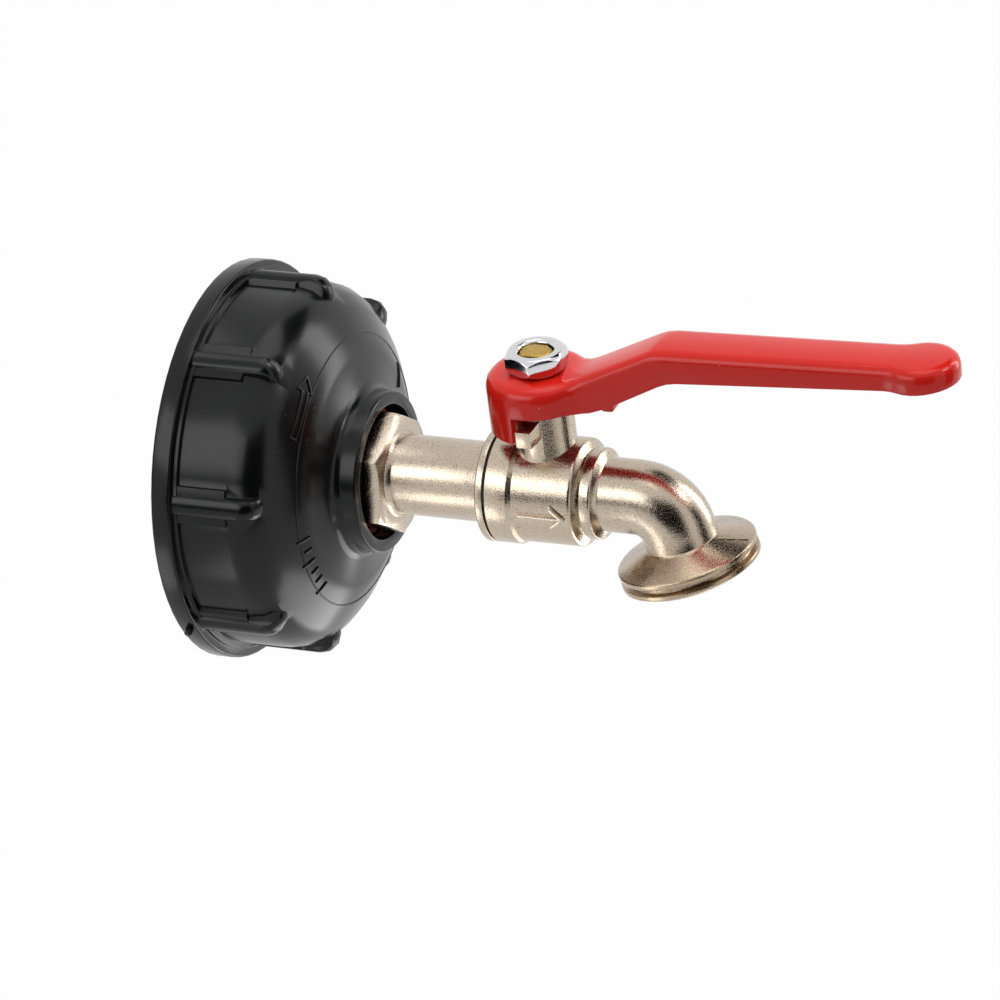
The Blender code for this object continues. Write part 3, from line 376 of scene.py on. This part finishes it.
def bright_chrome(name):
    """Mirror plating with faint polishing lines."""
    finish = Finish(name)
    colour = tuple(finishes().chrome_colour)
    dimmer = tuple(channel * 0.93 for channel in colour)
    lines = finish.noise(0.35 * MM, 3.0, 0.6, (1.0, 1.0, 0.12))
    haze = finish.noise(3 * MM, 2.0)
    base = finish.mix(haze, colour, dimmer)
    rough = finish.level(lines, 0.3, 0.7, 0.06, 0.14)
    relief = finish.bump(lines, 0.06, 0.02 * MM)
    return finish.set(Base_Color=base, Metallic=1.0, Roughness=rough, Normal=relief)


def cut_brass():
    """Brass with turning rings about the stem's axis and a torn, pitted end."""
    finish = Finish("cut_brass")
    colour = tuple(finishes().brass_colour)
    dark = (colour[0] * 0.45, colour[1] * 0.36, colour[2] * 0.2)
    ring_pitch = 0.22 * MM
    off_x = finish.part("X") - STEM_X
    off_y = finish.part("Y")
    radius = (off_x * off_x + off_y * off_y).root()
    rings = (radius * (2 * math.pi / ring_pitch)).sine() * 0.5 + 0.5
    torn = finish.noise(0.45 * MM, 4.0, 0.7)
    pits = finish.level(torn, 0.46, 0.36)
    base = finish.mix(pits * 0.8, colour, dark)
    rough = finish.level(torn, 0.3, 0.7, 0.26, 0.46)
    relief = finish.bump(rings * 0.4 + torn, 0.6, 0.06 * MM)
    return finish.set(Base_Color=base, Metallic=1.0, Roughness=rough, Normal=relief)


def soft_rubber(name, colour):
    """Dull rubber with a fine moulded grain and a pale bloom."""
    finish = Finish(name)
    paler = tuple(channel + 0.025 for channel in colour)
    grain = finish.noise(0.3 * MM, 3.0)
    bloom = finish.noise(5 * MM, 3.0)
    base = finish.mix(finish.level(bloom, 0.4, 0.75), colour, paler)
    rough = finish.level(grain, 0.3, 0.7, 0.55, 0.75)
    relief = finish.bump(grain, 0.25, 0.05 * MM)
    return finish.set(Base_Color=base, Roughness=rough, Normal=relief)


def pressed_fibre():
    """Red-brown pressed fibre with short strands."""
    finish = Finish("pressed_fibre")
    deep_brown, red_brown = (0.20, 0.035, 0.022), (0.40, 0.09, 0.055)
    strands = finish.noise(0.6 * MM, 4.0, 0.65, (1.0, 3.0, 1.0))
    base = finish.mix(strands, deep_brown, red_brown)
    relief = finish.bump(strands, 0.4, 0.06 * MM)
    return finish.set(Base_Color=base, Roughness=0.72, Normal=relief)


def turned_white():
    """White sealing plastic with fine turning marks."""
    finish = Finish("turned_white")
    ivory, white = (0.80, 0.80, 0.77), (0.86, 0.86, 0.84)
    marks = finish.noise(0.2 * MM, 2.0, 0.5, (1.0, 0.15, 0.15))
    base = finish.mix(marks, ivory, white)
    rough = finish.level(marks, 0.3, 0.7, 0.38, 0.5)
    relief = finish.bump(marks, 0.2, 0.03 * MM)
    return finish.set(Base_Color=base, Roughness=rough, Normal=relief)


# Modelling helpers

def deselect_all():
    """Return to object mode with nothing selected."""
    if bpy.context.object and bpy.context.object.mode != "OBJECT":
        bpy.ops.object.mode_set(mode="OBJECT")
    bpy.ops.object.select_all(action="DESELECT")


def pick(piece):
    """Make one object the only selected and active one."""
    deselect_all()
    piece.select_set(True)
    bpy.context.view_layer.objects.active = piece


def rename(piece, name):
    """Give an object and its mesh the same name."""
    piece.name = name
    piece.data.name = name
    return piece


def finish_piece(piece, material, body, stands_for=None):
    """Give a piece its material and body, and hide the solid that it stands for."""
    piece.data.materials.clear()
    piece.data.materials.append(material)
    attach(piece, body)
    if stands_for:
        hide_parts(stands_for)


def body_of(node):
    """The body that a solid rides on in the record."""
    for body, members in frame["record"]["behaviour"]["bodies"].items():
        if node in members:
            return body
    raise RuntimeError("no body holds " + node)


def copy_node(node, name):
    """Copy a solid's mesh with its loose triangles joined and its flat faces made whole."""
    pick(frame["nodes"][node])
    bpy.ops.object.duplicate()
    piece = rename(bpy.context.object, name)
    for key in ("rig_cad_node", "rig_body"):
        if key in piece:
            del piece[key]
    bpy.ops.object.mode_set(mode="EDIT")
    bpy.ops.mesh.select_all(action="SELECT")
    bpy.ops.mesh.remove_doubles(threshold=0.002 * MM)
    bpy.ops.mesh.dissolve_limited(angle_limit=math.radians(0.6))
    bpy.ops.mesh.select_all(action="DESELECT")
    bpy.ops.object.mode_set(mode="OBJECT")
    return piece


def add_modifier(piece, kind, **settings):
    """Add a modifier, set it and apply it."""
    pick(piece)
    bpy.ops.object.modifier_add(type=kind)
    modifier = piece.modifiers[-1]
    for key, value in settings.items():
        setattr(modifier, key, value)
    bpy.ops.object.modifier_apply(modifier=modifier.name)


def smooth(piece, degrees):
    """Shade a piece smooth, but for edges that turn by more than these degrees."""
    pick(piece)
    bpy.ops.object.shade_smooth_by_angle(angle=math.radians(degrees))


def soften(piece, width, edge_deg, smooth_deg):
    """Round the sharp edges a little and shade the rest smooth."""
    add_modifier(piece, "BEVEL", width=width, segments=2, limit_method="ANGLE",
                 angle_limit=math.radians(edge_deg), miter_outer="MITER_ARC")
    smooth(piece, smooth_deg)


def dress(node, name, material, edge, edge_deg=32.0, smooth_deg=32.0):
    """Copy a solid, soften the copy and let it stand for the solid."""
    piece = copy_node(node, name)
    if edge:
        soften(piece, edge, edge_deg, smooth_deg)
    else:
        bpy.ops.object.shade_smooth()
    finish_piece(piece, material, body_of(node), node)
    return piece


def apply_place(piece):
    """Put an object's place, turn and scale into its mesh."""
    pick(piece)
    bpy.ops.object.transform_apply(location=True, rotation=True, scale=True)


def join(pieces, name):
    """Join several objects into the first and name it."""
    deselect_all()
    for piece in pieces:
        piece.select_set(True)
    bpy.context.view_layer.objects.active = pieces[0]
    bpy.ops.object.join()
    return rename(bpy.context.object, name)


def select_where(piece, kind, wanted):
    """Open a piece in edit mode with its "VERT"s or "FACE"s selected whose place is wanted."""
    pick(piece)
    bpy.ops.object.mode_set(mode="EDIT")
    bpy.ops.mesh.select_all(action="DESELECT")
    bpy.ops.mesh.select_mode(type=kind)
    bpy.ops.object.mode_set(mode="OBJECT")
    if kind == "VERT":
        places = [(vert, vert.co) for vert in piece.data.vertices]
    else:
        places = [(face, face.center) for face in piece.data.polygons]
    for element, place in places:
        element.select = wanted(place)
    bpy.ops.object.mode_set(mode="EDIT")


def close_mesh(piece):
    """Fill the open ends, turn all faces outward and return to object mode."""
    pick(piece)
    bpy.ops.object.mode_set(mode="EDIT")
    bpy.ops.mesh.select_all(action="SELECT")
    bpy.ops.mesh.fill_holes(sides=0)
    bpy.ops.mesh.normals_make_consistent(inside=False)
    bpy.ops.mesh.select_all(action="DESELECT")
    bpy.ops.object.mode_set(mode="OBJECT")


def stroke_sheet(name, strokes, width):
    """Flat bars in the XY plane, one along each (start, end) stroke, as one object."""
    bar_step = 0.6 * MM
    bars = []
    for start, end in strokes:
        along = Vector(end) - Vector(start)
        middle = (Vector(start) + Vector(end)) / 2
        deselect_all()
        bpy.ops.mesh.primitive_grid_add(
            x_subdivisions=max(2, round(along.length / bar_step)), y_subdivisions=1, size=1.0,
            location=(middle.x, middle.y, 0.0), rotation=(0.0, 0.0, math.atan2(along.y, along.x)))
        bar = bpy.context.object
        bar.scale = (along.length + width, width, 1.0)
        apply_place(bar)
        bars.append(bar)
    return join(bars, name)


def lay_on(sheet, across, upward, middle, target, height):
    """Press a flat sheet onto a surface and thicken it, sunk a little so that it is joined.

    across and upward are where the sheet's X and Y point, middle is above the surface.
    """
    least_drop = 0.05 * MM
    outward = Vector(across).cross(Vector(upward))
    turn = Matrix((across, upward, outward)).transposed().to_4x4()
    sheet.matrix_world = Matrix.Translation(middle) @ turn
    add_modifier(sheet, "SHRINKWRAP", target=target, wrap_method="PROJECT", use_project_z=True,
                 use_negative_direction=True, use_positive_direction=False)
    apply_place(sheet)
    drops = [abs((vert.co - Vector(middle)).dot(outward)) for vert in sheet.data.vertices]
    if min(drops) < least_drop:
        raise RuntimeError(sheet.name + " misses its surface")
    add_modifier(sheet, "SOLIDIFY", thickness=height * 1.5, offset=1 / 3)
    add_modifier(sheet, "BEVEL", width=height * 0.3, segments=2, limit_method="ANGLE")
    smooth(sheet, 40.0)
    return sheet


# Marks: each stroke is a (start, end) pair in the mark's own plane

def arrow_outline(tail, tip, half_shaft, half_head, head):
    """The seven strokes round an arrow that points from tail to tip."""
    tail, tip = Vector(tail), Vector(tip)
    along = (tip - tail).normalized()
    side = Vector((-along.y, along.x))
    neck = tip - along * head
    corners = [tail + side * half_shaft, neck + side * half_shaft, neck + side * half_head, tip,
               neck - side * half_head, neck - side * half_shaft, tail - side * half_shaft]
    return list(zip(corners, corners[1:] + corners[:1]))


def polar(radius, angle_deg):
    """A place in the cap's own plane, from its radius and its angle."""
    angle = math.radians(angle_deg)
    return Vector((radius * math.cos(angle), radius * math.sin(angle)))


def cap_marks(cap):
    """The turn arrow, a row of plain ticks and a bar, raised on the cap's sloping front."""
    arrow_tail, arrow_tip = (-20.2 * MM, 16.6 * MM), (-11.2 * MM, 24.2 * MM)
    foot_radius, short, long = 22.6 * MM, 1.4 * MM, 2.4 * MM
    first_angle, angle_step = -176.0, 6.2
    strokes = arrow_outline(arrow_tail, arrow_tip, 0.55 * MM, 1.4 * MM, 2.8 * MM)
    for index, reach in enumerate((long, short, long, short, short, long)):
        angle = first_angle + angle_step * index
        strokes.append((polar(foot_radius, angle), polar(foot_radius + reach, angle)))
    strokes.append((Vector((21.2, 10.4)) * MM, Vector((18.3, 7.2)) * MM))
    sheet = stroke_sheet("cap_marks", strokes, 0.32 * MM)
    return lay_on(sheet, (0.0, 1.0, 0.0), (0.0, 0.0, 1.0), (45.0 * MM, 0.0, 0.0), cap,
                  details().mark_height)


def flow_arrow(body):
    """A raised arrow on the barrel that points with the flow."""
    half, head, half_head = 4.0 * MM, 2.2 * MM, 1.9 * MM
    tip = Vector((half, 0.0))
    strokes = [(Vector((-half, 0.0)), tip),
               (Vector((half - head, half_head)), tip),
               (Vector((half - head, -half_head)), tip)]
    sheet = stroke_sheet("flow_arrow", strokes, 0.8 * MM)
    return lay_on(sheet, (1.0, 0.0, 0.0), (0.0, 0.0, 1.0), (63.0 * MM, -15.0 * MM, -0.4 * MM),
                  body, details().mark_height * 1.8)


def parting_dashes(body):
    """A broken raised line over the outlet's cone, where two halves of its mould met."""
    slant, outlet_lean = 1 / 3, math.radians(13.1)
    ends = ((-2.4, -1.5), (-1.0, 0.2), (0.8, 2.2))
    strokes = [(Vector((start, start * slant)) * MM, Vector((end, end * slant)) * MM)
               for start, end in ends]
    sheet = stroke_sheet("parting_dashes", strokes, 0.35 * MM)
    across = (math.cos(outlet_lean), 0.0, math.sin(outlet_lean))
    return lay_on(sheet, across, (0.0, 1.0, 0.0), (93.8 * MM, 0.0, -2.0 * MM), body,
                  details().mark_height * 0.6)


# Pieces that the solids leave out

def mould_ring(cap):
    """A fine raised line round the cap's front, where two parts of its mould met."""
    radius, half_width, steps = 24.6 * MM, 0.16 * MM, 128
    found, place, _, _ = cap.ray_cast(Vector((50.0 * MM, -radius, 0.0)), Vector((-1.0, 0.0, 0.0)))
    if not found:
        raise RuntimeError("the mould line misses the cap")
    deselect_all()
    bpy.ops.mesh.primitive_circle_add(vertices=8, radius=half_width, location=(place.x, 0.0, radius),
                                      rotation=(math.radians(90), 0.0, 0.0))
    ring = bpy.context.object
    apply_place(ring)
    add_modifier(ring, "SCREW", axis="X", angle=2 * math.pi, screw_offset=0.0, steps=steps,
                 render_steps=steps, use_merge_vertices=True, merge_threshold=0.01 * MM)
    close_mesh(ring)
    bpy.ops.object.shade_smooth()
    return rename(ring, "cap_mould_line")


def tank_thread():
    """The coarse right-hand ridge inside the cap, run out into the wall at both ends."""
    pitch, depth = details().tank_thread_pitch, details().tank_thread_depth
    start, turns, steps = 3.1 * MM, 1.25, 80
    last = start + pitch * turns
    foot_width, crest_share, sunk = 0.56 * pitch, 0.5, 0.2 * MM
    crest = SOCKET_RADIUS - depth
    near = 0.1 * MM
    deselect_all()
    bpy.ops.mesh.primitive_plane_add(size=1.0, location=(start, 0.0, crest + (depth + sunk) / 2),
                                     rotation=(math.radians(90), 0.0, 0.0))
    ridge = bpy.context.object
    ridge.scale = (foot_width, depth + sunk, 1.0)
    apply_place(ridge)
    select_where(ridge, "VERT", lambda place: place.z < crest + near)
    bpy.ops.transform.resize(value=(crest_share, 1.0, 1.0), center_override=(start, 0.0, crest))
    bpy.ops.mesh.select_all(action="SELECT")
    bpy.ops.mesh.delete(type="ONLY_FACE")
    bpy.ops.object.mode_set(mode="OBJECT")
    add_modifier(ridge, "SCREW", axis="X", angle=2 * math.pi * turns, screw_offset=pitch * turns,
                 steps=steps, render_steps=steps, use_merge_vertices=False)
    run_out = 1.0 + 1.35 * depth / SOCKET_RADIUS
    last_turn = last - 0.3 * pitch
    for centre, at_end in (
            (start, lambda place: abs(place.y) < near and place.z > 0),
            (last, lambda place: abs(place.z) < near and place.x > last_turn)):
        select_where(ridge, "VERT", at_end)
        bpy.ops.transform.resize(value=(1.0, run_out, run_out), center_override=(centre, 0.0, 0.0))
        bpy.ops.object.mode_set(mode="OBJECT")
    close_mesh(ridge)
    add_modifier(ridge, "BEVEL", width=0.25 * MM, segments=2, limit_method="ANGLE",
                 angle_limit=math.radians(35))
    smooth(ridge, 35.0)
    return rename(ridge, "tank_thread_ridge")


def gate_nib():
    """The stub on the rim's edge where the plastic was let into the mould."""
    gate_angle, middle_radius, length = -150.0, 36.2 * MM, 1.8 * MM
    centre = polar(middle_radius, gate_angle)
    deselect_all()
    bpy.ops.mesh.primitive_cylinder_add(vertices=16, radius=0.75 * MM, depth=length,
                                        location=(2.0 * MM, centre.x, centre.y),
                                        rotation=(math.radians(gate_angle + 90), 0.0, 0.0))
    nib = bpy.context.object
    apply_place(nib)
    outer_end = middle_radius + length / 3
    select_where(nib, "FACE", lambda place: math.hypot(place.y, place.z) > outer_end)
    bpy.ops.mesh.inset(thickness=0.28 * MM)
    outward = polar(0.22 * MM, gate_angle)
    bpy.ops.transform.translate(value=(0.1 * MM, outward.x, outward.y))
    bpy.ops.object.mode_set(mode="OBJECT")
    add_modifier(nib, "BEVEL", width=0.12 * MM, segments=2, limit_method="ANGLE")
    smooth(nib, 40.0)
    return rename(nib, "rim_gate_nib")


def lever_post():
    """The short post that stands in the lever's channel under the ramp."""
    low, high = Vector((73.05, -1.5, 17.2)) * MM, Vector((75.3, 1.5, 25.2)) * MM
    middle = (low + high) / 2
    top_share = 1.15
    deselect_all()
    bpy.ops.mesh.primitive_cube_add(size=1.0, location=middle)
    post = bpy.context.object
    post.scale = high - low
    apply_place(post)
    select_where(post, "VERT", lambda place: place.z > middle.z)
    bpy.ops.transform.resize(value=(top_share, top_share, 1.0), center_override=middle)
    bpy.ops.object.mode_set(mode="OBJECT")
    add_modifier(post, "BEVEL", width=0.45 * MM, segments=3, limit_method="ANGLE")
    smooth(post, 40.0)
    return rename(post, "lever_channel_post")


# Dressing steps

class VALVE_OT_dress_cap(bpy.types.Operator):
    """Soften the cap's edges and add its thread, mould line, nib and marks"""
    bl_idname = "valve.dress_cap"
    bl_label = "Dress Cap"

    def execute(self, context):
        material = cap_plastic()
        cap = dress("tank_cap", "cap_shell", material, details().cap_edge_round,
                    edge_deg=30.0, smooth_deg=34.0)
        for piece in (cap_marks(cap), mould_ring(cap), tank_thread(), gate_nib()):
            finish_piece(piece, material, body_of("tank_cap"))
        return {"FINISHED"}


class VALVE_OT_dress_castings(bpy.types.Operator):
    """Soften the plated castings' edges and add the cast arrow and the mould's parting line"""
    bl_idname = "valve.dress_castings"
    bl_label = "Dress Castings"

    def execute(self, context):
        material = plated_casting()
        body = dress("valve_body", "body_casting", material, details().edge_round)
        for piece in (flow_arrow(body), parting_dashes(body)):
            finish_piece(piece, material, body_of("valve_body"))
        dress("inlet_tail", "tail_casting", material, details().edge_round)
        return {"FINISHED"}


class VALVE_OT_dress_lever(bpy.types.Operator):
    """Smooth the lever's coat and add the short post under its ramp"""
    bl_idname = "valve.dress_lever"
    bl_label = "Dress Lever"

    def execute(self, context):
        material = lever_coat()
        dress("lever", "lever_skin", material, 0.35 * MM, edge_deg=40.0, smooth_deg=45.0)
        finish_piece(lever_post(), material, body_of("lever"))
        return {"FINISHED"}


class VALVE_OT_dress_nut(bpy.types.Operator):
    """Soften the nut and the stem and give them their metals"""
    bl_idname = "valve.dress_nut"
    bl_label = "Dress Nut and Stem"

    def execute(self, context):
        dress("lever_nut", "nut_plated", bright_chrome("bright_chrome"), 0.12 * MM,
              edge_deg=25.0, smooth_deg=28.0)
        dress("stem", "stem_turned", cut_brass(), 0.08 * MM)
        return {"FINISHED"}


class VALVE_OT_dress_seals(bpy.types.Operator):
    """Smooth the seals, seats and ball and give them their finishes"""
    bl_idname = "valve.dress_seals"
    bl_label = "Dress Seals and Ball"

    def execute(self, context):
        black = soft_rubber("seal_rubber", (0.012, 0.012, 0.012))
        gasket = soft_rubber("gasket_rubber", (0.020, 0.020, 0.020))
        white = turned_white()
        dress("cap_gasket", "gasket_ring", gasket, 0.2 * MM)
        dress("boss_washer", "fibre_ring", pressed_fibre(), 0.1 * MM)
        dress("joint_seal", "joint_ring", black, 0.05 * MM)
        dress("stem_oring_lower", "oring_lower", black, 0.0)
        dress("stem_oring_upper", "oring_upper", black, 0.0)
        dress("seat_inlet", "seat_ring_inlet", white, 0.08 * MM)
        dress("seat_outlet", "seat_ring_outlet", white, 0.08 * MM)
        dress("stem_thrust_washer", "thrust_ring", white, 0.05 * MM)
        dress("ball", "ball_polished", bright_chrome("ball_chrome"), 0.15 * MM)
        return {"FINISHED"}


class VALVE_OT_build_studio(bpy.types.Operator):
    """Add the floor, the lights, the world and the camera"""
    bl_idname = "valve.build_studio"
    bl_label = "Build Studio"

    def execute(self, context):
        add_camera()
        add_floor()
        if studio().show_cards:
            add_cards()
        add_lights()
        add_world()
        return {"FINISHED"}


# Studio

def add_camera():
    """A camera with a long lens that looks down on the valve."""
    settings = studio()
    azimuth, elevation = settings.azimuth, settings.elevation
    back = Vector((math.sin(azimuth) * math.cos(elevation),
                   -math.cos(azimuth) * math.cos(elevation), math.sin(elevation)))
    right = Vector((math.cos(azimuth), math.sin(azimuth), 0.0))
    upright = Matrix((right, back.cross(right), back)).transposed()
    turn = upright.to_4x4() @ Matrix.Rotation(settings.roll, 4, "Z")
    place = Matrix.Translation(Vector(settings.look_at) + settings.distance * back)
    deselect_all()
    bpy.ops.object.camera_add()
    camera = bpy.context.object
    camera.matrix_world = place @ turn
    camera.data.lens = settings.lens
    camera.data.sensor_width = 36.0
    camera.data.clip_start = 0.05
    camera.data.clip_end = 20.0
    camera.data.dof.use_dof = False
    bpy.context.scene.camera = camera


def seen_as_background(tree):
    """1 on rays from the camera, a mirror or glass, and 0 on all other rays."""
    rays = add_node(tree, "ShaderNodeLightPath")
    camera = Wire(tree, rays.outputs["Is Camera Ray"])
    glossy = Wire(tree, rays.outputs["Is Glossy Ray"])
    glass = Wire(tree, rays.outputs["Is Transmission Ray"])
    return (camera + glossy + glass).at_most(1.0)


def show_as_background(tree, plain, share, output):
    """Mix a plain shader with pure white for the camera, mirrors and glass, and put it out."""
    white = add_node(tree, "ShaderNodeEmission", inputs={"Color": (1.0, 1.0, 1.0), "Strength": 1.0})
    mixed = add_node(tree, "ShaderNodeMixShader", inputs={
        "Fac": seen_as_background(tree) * share,
        1: Wire(tree, plain.outputs[0]),
        2: Wire(tree, white.outputs[0])})
    add_node(tree, output, inputs={"Surface": Wire(tree, mixed.outputs[0])})


def floor_material():
    """Pale floor that reads as white, with a faint shadow left on it."""
    white_share = 0.985
    material = bpy.data.materials.new("pale_floor")
    material.use_nodes = True
    tree = material.node_tree
    tree.nodes.clear()
    plain = add_node(tree, "ShaderNodeBsdfDiffuse", inputs={"Color": (0.55, 0.55, 0.55)})
    show_as_background(tree, plain, white_share, "ShaderNodeOutputMaterial")
    return material


def add_floor():
    """A wide floor well below the valve."""
    drop = CAD_BOX[0][2] - studio().floor_drop
    deselect_all()
    bpy.ops.mesh.primitive_plane_add(size=8.0, location=(MIDDLE[0], MIDDLE[1], drop))
    floor = bpy.context.object
    floor.name = "studio_floor"
    apply_place(floor)
    floor.data.materials.append(floor_material())


def look_from(place):
    """The turn that makes a thing at this place face the middle of the valve."""
    away = Vector(place) - Vector(MIDDLE)
    return away.to_track_quat("Z", "Y").to_euler()


def add_card(name, place, size, cloth):
    """A black card that only reflections see, so that it casts no shadow."""
    deselect_all()
    bpy.ops.mesh.primitive_plane_add(size=1.0, location=place, rotation=look_from(place))
    card = bpy.context.object
    card.name = name
    card.scale = (size[0], size[1], 1.0)
    apply_place(card)
    card.data.materials.append(cloth)
    card.visible_camera = False
    card.visible_diffuse = False
    card.visible_shadow = False


def add_cards():
    """Dark cards round the valve, for the dark bands in its plating and its plastic."""
    cloth = Finish("black_cloth").set(
        Base_Color=(0.006, 0.006, 0.006), Roughness=1.0, Specular_IOR_Level=0.0)
    add_card("card_right_front", (0.225, -0.30, 0.085), (0.41, 0.35), cloth)
    add_card("card_right", (0.36, 0.05, 0.0), (0.13, 0.26), cloth)
    add_card("card_over_boss", (0.17, 0.24, 0.34), (0.24, 0.22), cloth)
    add_card("card_left_front", (-0.015, -0.30, 0.03), (0.08, 0.07), cloth)
    add_card("card_left", (-0.22, -0.12, 0.05), (0.15, 0.15), cloth)


def add_softbox(name, place, size, glow, lights=True, mirrors=True):
    """A soft lamp facing the valve, which lights plain surfaces, shows in shiny ones, or both."""
    deselect_all()
    bpy.ops.object.light_add(type="AREA", location=place, rotation=look_from(place))
    lamp = bpy.context.object
    lamp.name = name
    lamp.data.shape = "RECTANGLE"
    lamp.data.size, lamp.data.size_y = size
    lamp.data.energy = glow * math.pi * size[0] * size[1]
    lamp.visible_camera = False
    lamp.visible_diffuse = lights
    lamp.visible_glossy = mirrors


def add_lights():
    """Soft lamps: two only light plain surfaces, four only show in shiny ones and two do both."""
    add_softbox("front_softbox", (-0.03, -0.22, 0.15), (0.26, 0.13), 2.35, lights=False)
    add_softbox("low_front_softbox", (-0.12, -0.22, -0.17), (0.14, 0.12), 1.9, lights=False)
    add_softbox("left_fill", (-0.20, -0.35, 0.08), (0.20, 0.20), 1.6, mirrors=False)
    add_softbox("top_fill", (0.12, 0.10, 0.80), (0.55, 0.55), 3.4, mirrors=False)
    add_softbox("back_softbox", (0.38, 0.36, 0.12), (0.13, 0.42), 4.5)
    add_softbox("high_softbox", (0.50, 0.14, 0.39), (0.14, 0.14), 8.0, lights=False)
    add_softbox("low_softbox", (0.16, 0.06, -0.24), (0.26, 0.12), 3.4)
    add_softbox("top_softbox", (0.10, 0.10, 0.80), (0.55, 0.55), 1.4, lights=False)


def add_world():
    """Pale light from all round, and pure white wherever the surroundings are seen."""
    world = bpy.data.worlds.new("studio_world")
    bpy.context.scene.world = world
    world.use_nodes = True
    tree = world.node_tree
    tree.nodes.clear()
    air = add_node(tree, "ShaderNodeBackground", inputs={"Color": (0.94, 0.97, 1.0), "Strength": 0.45})
    show_as_background(tree, air, 1.0, "ShaderNodeOutputWorld")
    bpy.context.scene.view_settings.view_transform = "Standard"


# Panel and registration

class VALVE_PT_dressing(bpy.types.Panel):
    """Lists the valve's dressing steps and their settings"""
    bl_idname = "VALVE_PT_dressing"
    bl_label = "Tank Valve"
    bl_space_type = "VIEW_3D"
    bl_region_type = "UI"
    bl_category = "Tank Valve"

    def draw(self, context):
        layout = self.layout
        for name, group in GROUPS:
            box = layout.box()
            for setting in group.__annotations__:
                box.prop(getattr(context.scene, name), setting)
        for operator in OPERATORS:
            layout.operator(operator.bl_idname)


OPERATORS = (
    VALVE_OT_dress_cap,
    VALVE_OT_dress_castings,
    VALVE_OT_dress_lever,
    VALVE_OT_dress_nut,
    VALVE_OT_dress_seals,
    VALVE_OT_build_studio,
)
GROUPS = (
    ("valve_finishes", ValveFinishes),
    ("valve_details", ValveDetails),
    ("valve_studio", ValveStudio),
)


def register():
    """Register the groups of settings, the operators and the panel."""
    for name, group in GROUPS:
        bpy.utils.register_class(group)
        setattr(bpy.types.Scene, name, bpy.props.PointerProperty(type=group))
    for operator in OPERATORS:
        bpy.utils.register_class(operator)
    bpy.utils.register_class(VALVE_PT_dressing)


def unregister():
    """Undo the registration in reverse order."""
    bpy.utils.unregister_class(VALVE_PT_dressing)
    for operator in reversed(OPERATORS):
        bpy.utils.unregister_class(operator)
    for name, group in reversed(GROUPS):
        delattr(bpy.types.Scene, name)
        bpy.utils.unregister_class(group)


def main():
    """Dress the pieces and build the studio."""
    register()
    bpy.ops.valve.dress_cap()
    bpy.ops.valve.dress_castings()
    bpy.ops.valve.dress_lever()
    bpy.ops.valve.dress_nut()
    bpy.ops.valve.dress_seals()
    bpy.ops.valve.build_studio()


if __name__ == "__main__":
    main()
